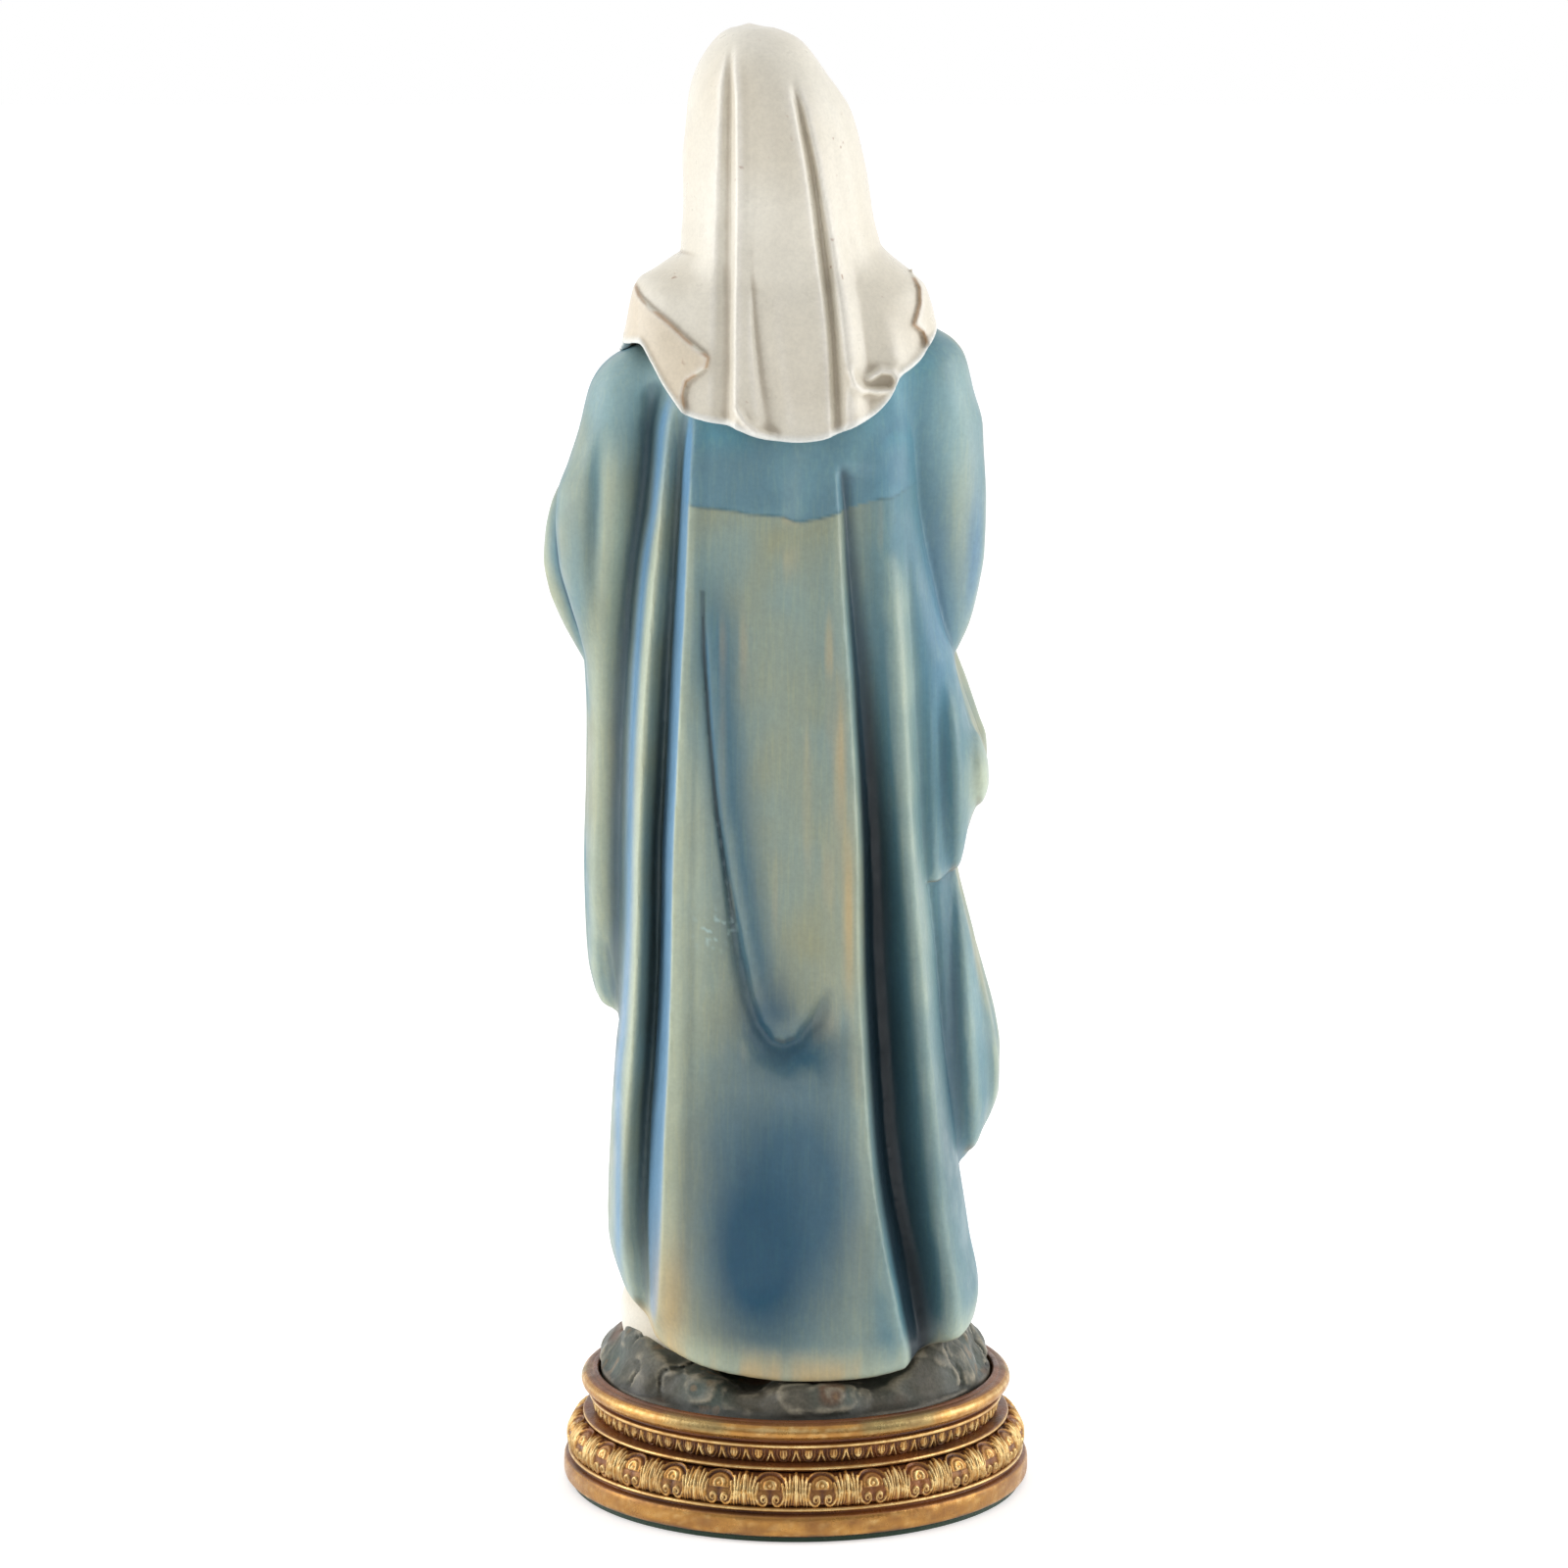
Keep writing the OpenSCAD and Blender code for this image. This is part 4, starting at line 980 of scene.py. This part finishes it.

    # Light blue on the slopes that rise towards the figure's right: a painted highlight where those faces catch the
    # light.
    painted_slope_highlight = fade(climb, 0.4, 1.6) * fade(x, 14, 18)
    color = coat(color, light_blue, painted_slope_highlight * 0.8)
    # Dark in the grooves: a dark wash, deepened with painted shade.
    groove = fade(-relief, 0.8, 3.4) * (1 - painted_slope_highlight) * fade(x, 12, 16)
    color = coat(color, tint(66, 84, 88), groove * 0.85)
    across = (edge_x - 0.4 - x) / np.maximum(edge_x + 0.6 - crest_x, 1)
    height = fade(-z, -212, -120)
    dark = fade(across, 0, 0.1) * (1 - fade(across, 0.06 + 0.2 * height, 0.3 + 0.6 * height)) * behind * fade(215 - z, 0, 3)
    color = coat(color, night, dark * (0.8 + 0.18 * height))
    bottom_x = profile([(p[0], p[1]) for p in BACK_FOLDS[8]["at"]], z)
    bottom = np.exp(-(((x - bottom_x + 0.5) / 1.6) ** 2)) * behind * fade(205 - z, 0, 60)
    color = coat(color, tint(8, 20, 28), bottom * 0.75)
    crest = np.exp(-(((x - crest_x + 0.3) / 2.1) ** 2)) * behind * (1 - fade(z, 184, 200))
    color = coat(color, cream, crest * (0.4 + 0.3 * cloud) * (0.3 + 0.7 * fade(z, 70, 140)))
    # Dark along the side groove: a dark wash with painted shade in it.
    gap, share, _ = stroke(x, z, SIDE_GROOVE)
    color = coat(color, tint(60, 82, 90), behind * np.exp(-((gap / 2.2) ** 2)) * 0.92 * fade(share, 0, 0.1))
    # A light blue band on the face beside the side groove: a painted highlight.
    side_x = profile([(p[1], p[0]) for p in SIDE_GROOVE], z)
    face = np.exp(-(((side_x - x - 2.5) / 0.9) ** 2)) * fade(z, 40, 60) * (1 - fade(z, 222, 230))
    color = coat(color, light_blue, behind * face * 0.75)
    front_x = 29 + profile(LEFT_PANEL, z)
    beyond = fade(x, front_x - 1.2, front_x + 0.2) * fade(z, 150, 184) * (1 - fade(z, 194, 222)) * fade(y, -14, -4)
    color = coat(color, blue, beyond * (1 - fade(x, front_x + 0.4, front_x + 2.6)) * 0.85)
    gutter = fade(-x, 13, 15) * (1 - fade(-x, 26, 30)) * behind
    color = coat(color, slate, fade(hollow, 0.08, 0.45) * (0.85 - 0.5 * behind) * (1 - gutter))
    # A dark line in the swag's crease: a wash with painted shade.
    gap, share, _ = stroke(x, z, SWAG_CREASE)
    color = coat(color, tint(36, 52, 58), behind * np.exp(-((gap / 0.4) ** 2)) * 0.85 * (1 - fade(share, 0.3, 0.62)))

    around = np.degrees(np.arctan2(y, x))
    hem = profile(HEM, np.where(around < -130, around + 360, around))
    low = np.minimum(np.abs(z - hem), 40)
    color = coat(color, cream, (1 - fade(low, 1, 9)) * behind * 0.5 * (1 - dark))
    rusty = fade(cloud + 0.4 * long_streak + 0.02 * x, -0.2, 0.5)
    color = coat(color, orange, (1 - fade(low, 0.5, 8)) * behind * rusty * 0.7 * (1 - dark))
    color = spot(color, orange, (25.5, 44), (3.2, 14), 0.7 + 0.3 * cloud)
    # Faces turned downwards are darker: painted shade.
    color = coat(color, tint(120, 112, 92), fade(normal_down, 0.5, 0.9) * 0.7)
    scuffs = fade(noise(x, y, z, 0.8, 26), 0.25, 0.5) * patch(x, z, (16.5, 121), (3.8, 3.4)) * behind
    color = coat(color, tint(176, 206, 206), scuffs * 0.8)
    return color * (1 + 0.04 * noise(x, y, z, 0.9, 24) + 0.05 * long_streak)[:, None]


def veil_paint(points, faces):
    x, y, z = points.T
    hollow = hollows(points, faces, 22)
    cloud = noise(x, y, z, 12, 31)
    color = np.tile(tint(232, 227, 213), (len(x), 1))
    color = coat(color, tint(221, 212, 193), 0.4 + 0.5 * cloud)
    color = coat(color, tint(240, 235, 224), fade(-hollow, 0.03, 0.25) * 0.7)
    color = coat(color, tint(168, 154, 132), fade(hollow, 0.07, 0.32) * 0.6)
    behind = fade(y, 0, 6)
    flap = inside(x, z, LEFT_FLAP)
    color = coat(color, tint(214, 196, 168), behind * fade(flap, 0, 1) * 0.6 * (1 - fade(z, 249, 252)))
    broken = fade(noise(x, y, z, 2.4, 32), -0.5, 0.1)
    for area in (LEFT_FLAP, RIGHT_FLAP):
        edge = np.exp(-((inside(x, z, area) / 0.35) ** 2)) * (z < 250) * (np.abs(x) < 33)
        color = coat(color, tint(190, 146, 100), behind * edge * broken * 0.7)
    hem = profile(VEIL_HEM, x) * fade(y, -6, 3) + profile(VEIL_HEM_FRONT, x) * (1 - fade(y, -6, 3))
    rise = z - hem
    color = coat(color, tint(236, 236, 230), (1 - fade(rise, 0.6, 1.8)) * 0.8)
    # Blue-grey along the lower edge of the hem: a painted shadow under it.
    color = coat(color, tint(140, 178, 192), (1 - fade(rise, -0.4, 0.5)) * 0.75)
    rust = fade(noise(x, y, z, 0.9, 33), 0.8, 0.9) * fade(noise(x, y, z, 8, 34), 0.25, 0.6)
    color = coat(color, tint(150, 96, 58), rust * 0.8)
    return color * (1 + 0.03 * noise(x, y, z, 1.4, 35))[:, None]


def gown_paint(points, faces):
    x, y, z = points.T
    hollow = hollows(points, faces, 30)
    cloud = noise(x, y, z, 14, 41)
    color = np.tile(tint(232, 226, 210), (len(x), 1))
    color = coat(color, tint(218, 208, 186), 0.4 + 0.6 * cloud)
    color = coat(color, tint(245, 242, 232), fade(-hollow, 0.05, 0.4) * 0.7)
    color = coat(color, tint(168, 152, 124), fade(hollow, 0.06, 0.45) * 0.75)
    sash = 1 - fade(np.abs(z - 186.5 + 0.05 * (x - 2)), 3.2, 3.7)
    color = coat(color, tint(104, 150, 186), sash * (0.95 - 0.6 * fade(hollow, 0.02, 0.2)))
    color = coat(color, tint(186, 146, 76), (1 - fade(np.abs(z - 31.4), 0.7, 1)) * fade(-y, 4, 8) * 0.9)
    neck = capsule(x, y, z, (4.4, -2.2, 234, 9.4), (5, -1.5, 262, 6.4))
    return coat(color, tint(186, 146, 76), (1 - fade(neck, 1.1, 1.5)) * fade(z, 230, 234) * 0.9)


def sleeve_paint(points, faces):
    hollow = hollows(points, faces, 18)
    color = np.tile(tint(232, 226, 210), (len(points), 1))
    color = coat(color, tint(245, 242, 232), fade(-hollow, 0.03, 0.25) * 0.7)
    color = coat(color, tint(160, 144, 116), fade(hollow, 0.04, 0.3) * 0.8)
    x, y, z = points.T
    side = np.where(x > 2, 1, -1)
    end = ((x - 2) * side - 3.6) * 0.78 + (-34.5 - y) * -0.45 + (z - 203) * -0.45
    return coat(color, tint(186, 146, 76), (1 - fade(end, 0.9, 1.4)) * 0.9)


def skin_color(points, faces, rounds=10):
    x, y, z = points.T
    hollow = hollows(points, faces, rounds)
    color = np.tile(tint(226, 178, 148), (len(points), 1))
    color = coat(color, tint(238, 200, 174), fade(-hollow, 0.02, 0.2) * 0.6)
    color = coat(color, tint(182, 118, 92), fade(hollow, 0.03, 0.22) * 0.7)
    return color * (1 + 0.03 * noise(x, y, z, 4, 51))[:, None]


class Places:
    """Bare places, for functions that read a block's x, y and z."""

    def __init__(self, points):
        self.x, self.y, self.z = points.T


def face_paint(points, faces):
    color = skin_color(points, faces)
    u, f, h = head_places(Places(points))
    side = np.abs(u)
    front = fade(f, 5, 8)
    color = coat(color, tint(214, 134, 112), front * patch(side, h, (5.6, -4.6), (2.6, 2.4)) * 0.55)
    lips = 1 - fade(np.hypot(u / 2.9, (h + 9.5 + 0.1 * np.cos(u * 2)) / 1.35), 0.8, 1.05)
    color = coat(color, tint(186, 84, 78), front * lips * fade(f, 10.5, 11.5) * 0.9)
    line = np.abs(h + 9.4 + 0.12 * np.cos(side * 2.2))
    color = coat(color, tint(110, 40, 38), front * np.exp(-((line / 0.2) ** 2)) * (1 - fade(side, 2.2, 2.9)) * 0.8)
    lash_place = h + 0.9 - 0.07 * (side - 4.15) ** 2
    lash = np.exp(-((lash_place / 0.26) ** 2)) * (1 - fade(np.abs(side - 4.15), 2.1, 2.7))
    color = coat(color, tint(58, 34, 24), front * lash * 0.95)
    brow_line = h - 3.9 + 0.09 * (side - 4.2) ** 2
    brow = np.exp(-((brow_line / 0.38) ** 2)) * (1 - fade(np.abs(side - 4.4), 2, 3))
    color = coat(color, tint(96, 60, 40), front * brow * 0.75)
    shadow = patch(side, h, (4.1, 0.8), (2.2, 1.1))
    return coat(color, tint(176, 120, 100), front * shadow * 0.35)


def hair_paint(points, faces):
    x, y, z = points.T
    hollow = hollows(points, faces, 10)
    color = np.tile(tint(96, 62, 38), (len(points), 1))
    color = coat(color, tint(150, 106, 66), fade(-hollow, 0.02, 0.16) * 0.8)
    return coat(color, tint(44, 26, 16), fade(hollow, 0.01, 0.14) * 0.9)


def rock_paint(points, faces):
    x, y, z = points.T
    hollow = hollows(points, faces, 10)
    fine = noise(x, y, z, 1.6, 61)
    broad = noise(x, y, z, 9, 62)
    color = np.tile(tint(86, 82, 70), (len(points), 1))
    color = coat(color, tint(80, 92, 84), 0.5 + 0.9 * broad)
    color = coat(color, tint(112, 74, 48), fade(noise(x, y, z, 7, 63), 0.1, 0.6) * 0.7)
    color = coat(color, tint(160, 152, 132), fade(-hollow - 0.06 * fine, 0.02, 0.18) * 0.88)
    color = coat(color, tint(150, 120, 82), fade(fine + broad, 0.6, 1.1) * 0.5)
    color = coat(color, tint(30, 24, 20), fade(hollow, 0.08, 0.4) * 0.8)
    return coat(color, tint(30, 26, 22), 0.6 * (1 - fade(z, 23.6, 25.4)))


def gold_wash_and_painted_highlight(height, x, y, z, highlight_share=1.0):
    """Antique gold: a red-brown wash in the hollows, and pale gold on the raised parts as a painted highlight."""
    angle = np.arctan2(y, x) * 46
    cloud = noise(angle, x * 0, z, 7, 71)
    fine = noise(x, y, z, 0.8, 72)
    color = np.tile(tint(200, 150, 80), (len(x), 1))
    color = coat(color, tint(70, 30, 20), (1 - fade(height, 0.3, 0.74)) * 0.95)
    color = coat(color, tint(142, 84, 40), (1 - fade(height, 0.5, 0.9)) * (0.45 + 0.5 * cloud))
    # Pale gold on the highest parts: a painted highlight.
    return coat(color, tint(252, 224, 160), fade(height + 0.16 * fine, 0.72, 1.05) * 0.9 * highlight_share)


def plinth_paint(points, faces):
    x, y, z = points.T
    radius = np.hypot(x, y)
    angle = np.arctan2(y, x) * 46
    line = rounded(PLINTH_PROFILE)
    height = np.full(len(x), 0.75)
    for low, high, amount in ((5.6, 6.5, 1), (7.0, 15, 1), (14.7, 18.1, 1), (19.05, 19.9, 0.9), (23.2, 25, 1), (0, 1.3, 0.8)):
        dark = fade(z, low - 0.25, low + 0.1) * (1 - fade(z, high - 0.1, high + 0.25))
        height = height - 0.7 * amount * dark
    # The beads are lifted towards the pale gold, so they carry a painted highlight.
    bead = (np.exp(-(((z - 14.4) / 0.3) ** 2)) + np.exp(-(((z - 6.8) / 0.3) ** 2)) + np.exp(-(((z - 18.6) / 0.35) ** 2)))
    bead = np.clip(bead + np.exp(-(((z - 22.3) / 0.8) ** 2)) * 0.8 + np.exp(-(((z - 5.1) / 0.5) ** 2)) * 0.5, 0, 1)
    height = np.maximum(height, 0.3 + 0.75 * bead * (radius > 42))
    color = gold_wash_and_painted_highlight(height, x, y, z, 0.75)
    band = (z > 1.5) & (z < 5.6)
    brush = noise(angle / 6, x * 0, z, 0.7, 73)
    color = coat(color, tint(150, 102, 52), band * (0.3 + 0.5 * brush))
    worn = fade(noise(angle, x * 0, z, 9, 74), 0.15, 0.6) * fade(z, 20.4, 21.6) * (1 - fade(z, 23, 23.6))
    color = coat(color, tint(150, 140, 96), worn * 0.7)
    scuffed = fade(noise(angle, x * 0, z * 2, 4, 75), 0.1, 0.4) * (1 - fade(z, 1.2, 2.3))
    return coat(color, tint(78, 52, 34), scuffed * 0.8)


# ---------------------------------------------------------------- materials


def add(tree, kind, sockets=None, **settings):
    """A shader node, with its sockets set to values or joined to other nodes' outputs."""
    made = tree.nodes.new("ShaderNode" + kind)
    for name, value in settings.items():
        setattr(made, name, value)
    for key, value in (sockets or {}).items():
        if isinstance(value, bpy.types.NodeSocket):
            tree.links.new(value, made.inputs[key])
        else:
            made.inputs[key].default_value = value
    return made


def blend_colors(tree, share, a, b, blend_type="MIX"):
    made = add(tree, "Mix", {0: share}, data_type="RGBA", blend_type=blend_type)
    for key, value in ((6, a), (7, b)):
        if isinstance(value, bpy.types.NodeSocket):
            tree.links.new(value, made.inputs[key])
        else:
            made.inputs[key].default_value = (*value, 1)
    return made.outputs[2]


def scaled(tree, place, stretch):
    return add(tree, "Mapping", {"Vector": place, "Scale": stretch}).outputs["Vector"]


def noise_at(tree, place, per_metre, detail=3.0, roughness=0.55):
    sockets = {"Vector": place, "Scale": per_metre, "Detail": detail, "Roughness": roughness}
    return add(tree, "TexNoise", sockets).outputs["Fac"]


def steps(tree, value, low, high, to_low=0.0, to_high=1.0):
    sockets = {"Value": value, "From Min": low, "From Max": high, "To Min": to_low, "To Max": to_high}
    return add(tree, "MapRange", sockets, interpolation_type="SMOOTHSTEP").outputs["Result"]


def maths(tree, operation, a, b):
    return add(tree, "Math", {0: a, 1: b}, operation=operation).outputs["Value"]


def painted(name, shine=(0.35, 0.55), varnish=0.15, pits=0.0, streaks=0.0, grain=0.5):
    """Airbrushed and varnished resin: its colour comes from the painted attribute, with fine wear over it."""
    material = bpy.data.materials.new(name)
    material.use_nodes = True
    tree = material.node_tree
    shader = tree.nodes["Principled BSDF"]
    place = add(tree, "TexCoord").outputs["Object"]
    color = add(tree, "Attribute", attribute_name="paint").outputs["Color"]
    fine = noise_at(tree, place, 1400, 4)
    cloud = noise_at(tree, place, 160, 3)
    brushed = noise_at(tree, scaled(tree, place, (1, 1, 0.07)), 1500, 3)
    color = blend_colors(tree, steps(tree, fine, 0.3, 0.75, 0.0, 0.16 * grain), color, (0.06, 0.06, 0.05), "MULTIPLY")
    if streaks:
        share = steps(tree, brushed, 0.42, 0.75, 0.0, streaks)
        color = blend_colors(tree, share, color, (0.82, 0.72, 0.5), "SOFT_LIGHT")
    height = maths(tree, "ADD", maths(tree, "MULTIPLY", fine, 0.35 * grain), maths(tree, "MULTIPLY", brushed, 0.3 * grain))
    height = maths(tree, "ADD", height, maths(tree, "MULTIPLY", cloud, 0.9))
    if pits:
        cells = add(tree, "TexVoronoi", {"Vector": place, "Scale": 190, "Randomness": 1.0})
        chance = add(tree, "SeparateColor", {"Color": cells.outputs["Color"]}).outputs[0]
        pit = maths(tree, "MULTIPLY", steps(tree, cells.outputs["Distance"], 0.06, 0.03),
                    steps(tree, chance, 1 - pits, 1 - pits + 0.02))
        color = blend_colors(tree, maths(tree, "MULTIPLY", pit, 0.8), color, (0.05, 0.025, 0.015))
        height = maths(tree, "SUBTRACT", height, maths(tree, "MULTIPLY", pit, 1.5))
    tree.links.new(color, shader.inputs["Base Color"])
    tree.links.new(steps(tree, cloud, 0.3, 0.7, shine[0], shine[1]), shader.inputs["Roughness"])
    bump = add(tree, "Bump", {"Height": height, "Strength": 0.35, "Distance": 0.00035})
    tree.links.new(bump.outputs["Normal"], shader.inputs["Normal"])
    shader.inputs["Specular IOR Level"].default_value = 0.4
    shader.inputs["Coat Weight"].default_value = varnish
    shader.inputs["Coat Roughness"].default_value = 0.25
    return material


def gilded(name):
    """Gold paint over resin: the metal shows where the painted colour is light."""
    material = bpy.data.materials.new(name)
    material.use_nodes = True
    tree = material.node_tree
    shader = tree.nodes["Principled BSDF"]
    place = add(tree, "TexCoord").outputs["Object"]
    color = add(tree, "Attribute", attribute_name="paint").outputs["Color"]
    fine, cloud = noise_at(tree, place, 1800, 4), noise_at(tree, place, 260, 4)
    color = blend_colors(tree, steps(tree, cloud, 0.35, 0.7, 0.0, 0.35), color, (0.32, 0.14, 0.05), "MULTIPLY")
    light = add(tree, "RGBToBW", {"Color": color}).outputs["Val"]
    tree.links.new(color, shader.inputs["Base Color"])
    tree.links.new(steps(tree, light, 0.03, 0.3, 0.1, 0.8), shader.inputs["Metallic"])
    tree.links.new(steps(tree, maths(tree, "ADD", fine, cloud), 0.7, 1.3, 0.24, 0.46), shader.inputs["Roughness"])
    height = maths(tree, "ADD", maths(tree, "MULTIPLY", fine, 0.6), cloud)
    bump = add(tree, "Bump", {"Height": height, "Strength": 0.45, "Distance": 0.0003})
    tree.links.new(bump.outputs["Normal"], shader.inputs["Normal"])
    return material


def steel():
    """Zinc-plated steel for the hidden fixings."""
    material = bpy.data.materials.new("zinc_plate")
    material.use_nodes = True
    tree = material.node_tree
    shader = tree.nodes["Principled BSDF"]
    place = add(tree, "TexCoord").outputs["Object"]
    spangle = noise_at(tree, place, 600, 3)
    color = blend_colors(tree, spangle, (0.42, 0.43, 0.44), (0.62, 0.63, 0.62))
    tree.links.new(color, shader.inputs["Base Color"])
    tree.links.new(steps(tree, spangle, 0.3, 0.7, 0.22, 0.42), shader.inputs["Roughness"])
    shader.inputs["Metallic"].default_value = 1
    bump = add(tree, "Bump", {"Height": spangle, "Strength": 0.2, "Distance": 0.0001})
    tree.links.new(bump.outputs["Normal"], shader.inputs["Normal"])
    return material


def felt():
    """Dark green felt, with short fibres."""
    material = bpy.data.materials.new("green_felt")
    material.use_nodes = True
    tree = material.node_tree
    shader = tree.nodes["Principled BSDF"]
    place = add(tree, "TexCoord").outputs["Object"]
    fibres = noise_at(tree, scaled(tree, place, (1, 1, 4)), 2600, 6, 0.7)
    color = blend_colors(tree, fibres, (0.008, 0.03, 0.016), (0.03, 0.085, 0.045))
    tree.links.new(color, shader.inputs["Base Color"])
    tree.links.new(steps(tree, fibres, 0.3, 0.7, 0.8, 1.0), shader.inputs["Roughness"])
    bump = add(tree, "Bump", {"Height": fibres, "Strength": 0.8, "Distance": 0.0004})
    tree.links.new(bump.outputs["Normal"], shader.inputs["Normal"])
    shader.inputs["Sheen Weight"].default_value = 0.3
    return material


# ---------------------------------------------------------------- the pieces


def brush_on(obj, color):
    """Stores the painted colour on the mesh."""
    attribute = obj.data.attributes.new("paint", "FLOAT_COLOR", "POINT")
    full = np.concatenate([np.clip(color, 0, 1), np.ones((len(color), 1))], 1)
    attribute.data.foreach_set("color", full.astype(np.float32).ravel())


def place_piece(obj, color, material, slot_name, *nodes):
    brush_on(obj, color)
    obj.data.materials.append(material)
    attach(obj, "root")
    if nodes:
        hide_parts(*nodes)


def build_figure():
    cloth = painted("mantle_paint", (0.36, 0.56), 0.12, pits=0.02, streaks=0.3)
    veil_coat = painted("veil_paint", (0.26, 0.42), 0.3, pits=0.05)
    white_coat = painted("gown_paint", (0.34, 0.5), 0.15, pits=0.015)
    skin = painted("skin_paint", (0.38, 0.5), 0.12, grain=0.25)
    brown = painted("hair_paint", (0.4, 0.6), 0.1)
    stone = painted("rock_paint", (0.4, 0.75), 0.15, grain=2.0)
    plan = [
        ("mantle", sculpt_mantle, mantle_paint, cloth, "blue_paint", "cloak"),
        ("veil_cloth", sculpt_veil, veil_paint, veil_coat, "veil_paint", "veil"),
        ("gown", sculpt_gown, gown_paint, white_coat, "white_paint", "dress"),
        ("face_and_neck", sculpt_head, face_paint, skin, "skin_paint", "head"),
        ("hair", sculpt_hair, hair_paint, brown, "skin_paint", None),
        ("rock", sculpt_rock, rock_paint, stone, "rock_paint", "rock_mound"),
    ]
    for side, word in ((1, "left"), (-1, "right")):
        plan.append((word + "_palm_and_fingers", partial(sculpt_hand, side), skin_color, skin, "skin_paint", word + "_hand"))
        plan.append((word + "_sleeve_cloth", partial(sculpt_sleeve, side), sleeve_paint, white_coat, "white_paint",
                     word + "_sleeve"))
    with ThreadPoolExecutor(4) as pool:
        formed = [pool.submit(step[1]) for step in plan]
        for (name, _, paint, material, slot_name, node), job in zip(plan, formed):
            obj, points, faces = to_mesh(*job.result(), name)
            place_piece(obj, paint(points, faces), material, slot_name, *([node] if node else []))


def build_base():
    gold = gilded("gold_wash_and_painted_highlight")
    wall = [(46.0, 7.3), (46.5, 7.8), (46.7, 9), (46.5, 10.4), (45.8, 11.8), (44.9, 12.8), (43.8, 13.4)]
    leaves, high = carved_ring("acanthus_band", wall, 42.6, LEAF_COUNT, 54, leaf_relief, 6.2)
    place_piece(leaves, band_paint(leaves, high), gold, "gilt_resin", "leaf_band")
    wall = [(41.3, 14.95), (41.4, 16.4), (41.6, 17.95)]
    eggs, high = carved_ring("palmette_band", wall, 40.8, EGG_COUNT, 28, egg_relief, 3.0)
    place_piece(eggs, band_paint(eggs, high * 1.2), gold, "gilt_resin", "egg_band")
    points, faces = turned_solid(rounded(PLINTH_PROFILE), 300)
    body = new_mesh("plinth_body", points, faces)
    place_piece(body, plinth_paint(points, faces), gold, "gilt_resin", "plinth")


def band_paint(obj, high):
    points = np.zeros(len(obj.data.vertices) * 3, np.float32)
    obj.data.vertices.foreach_get("co", points)
    x, y, z = (points.reshape(-1, 3) / MM).T.astype(float)
    return gold_wash_and_painted_highlight(high, x, y, z)


def finish_fixings():
    """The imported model's own fixings and felt keep their shapes, and get their materials."""
    zinc, pad = steel(), felt()
    looks = {"felt_pad": pad, "fixing_screw": zinc, "screw_washer": zinc, "neck_dowel": zinc, "left_wrist_pin": zinc,
             "right_wrist_pin": zinc}
    for name, material in looks.items():
        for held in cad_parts[name].material_slots:
            held.material = material


build_figure()
build_base()
finish_fixings()

# ---------------------------------------------------------------- stage


def area_light(name, place, aim, size, power, color=(1, 1, 1)):
    data = bpy.data.lights.new(name, "AREA")
    data.shape = "RECTANGLE"
    data.size, data.size_y = size
    data.energy = power
    data.color = color
    obj = bpy.data.objects.new(name, data)
    bpy.context.scene.collection.objects.link(obj)
    obj.location = place
    obj.rotation_euler = (Vector(aim) - Vector(place)).to_track_quat("-Z", "Y").to_euler()
    return obj


def light_studio():
    """White paper all round, dimmer on the camera's side, and evenly white where the camera sees it."""
    world = bpy.data.worlds.new("studio")
    world.use_nodes = True
    bpy.context.scene.world = world
    tree = world.node_tree
    sky = tree.nodes["Background"]
    sky.inputs["Color"].default_value = (1, 1, 1, 1)
    toward = add(tree, "SeparateXYZ", {"Vector": add(tree, "TexCoord").outputs["Generated"]}).outputs["Y"]
    glow = steps(tree, toward, 0.05, 0.85, 0.95, 0.2)
    seen = add(tree, "LightPath").outputs["Is Camera Ray"]
    tree.links.new(maths(tree, "MAXIMUM", glow, seen), sky.inputs["Strength"])


def build_stage():
    mesh = bpy.data.meshes.new("floor")
    s = 6.0
    mesh.from_pydata([(-s, -s, 0), (s, -s, 0), (s, s, 0), (-s, s, 0)], [], [(0, 1, 2, 3)])
    floor = bpy.data.objects.new("floor", mesh)
    bpy.context.scene.collection.objects.link(floor)
    m = bpy.data.materials.new("floor_paper")
    m.use_nodes = True
    p = m.node_tree.nodes["Principled BSDF"]
    p.inputs["Base Color"].default_value = (0.86, 0.86, 0.86, 1)
    p.inputs["Roughness"].default_value = 0.9
    p.inputs["Emission Color"].default_value = (1, 1, 1, 1)
    p.inputs["Emission Strength"].default_value = 0.42
    mesh.materials.append(m)
    light_studio()
    area_light("left_softbox", (1.0, 0, 0.4), (0, 0, 0.15), (0.8, 1.1), 5.5)
    area_light("right_softbox", (-1.0, 0, 0.4), (0, 0, 0.15), (0.8, 1.1), 5.5)
    area_light("camera_side_fill", (0.0, 1.4, 1.0), (0, 0, 0.15), (0.9, 0.9), 1.2)
    scene = bpy.context.scene
    scene.view_settings.view_transform = "Standard"
    camera_data = bpy.data.cameras.new("camera")
    camera = bpy.data.objects.new("camera", camera_data)
    scene.collection.objects.link(camera)
    camera_data.lens = 125.44
    camera_data.sensor_width = 36
    camera.location = (2.43 * MM, 1100 * MM, 336 * MM)
    camera.rotation_euler = (math.radians(90 - 9.7935), 0, math.pi)
    camera_data.clip_start = 0.01
    scene.camera = camera


build_stage()
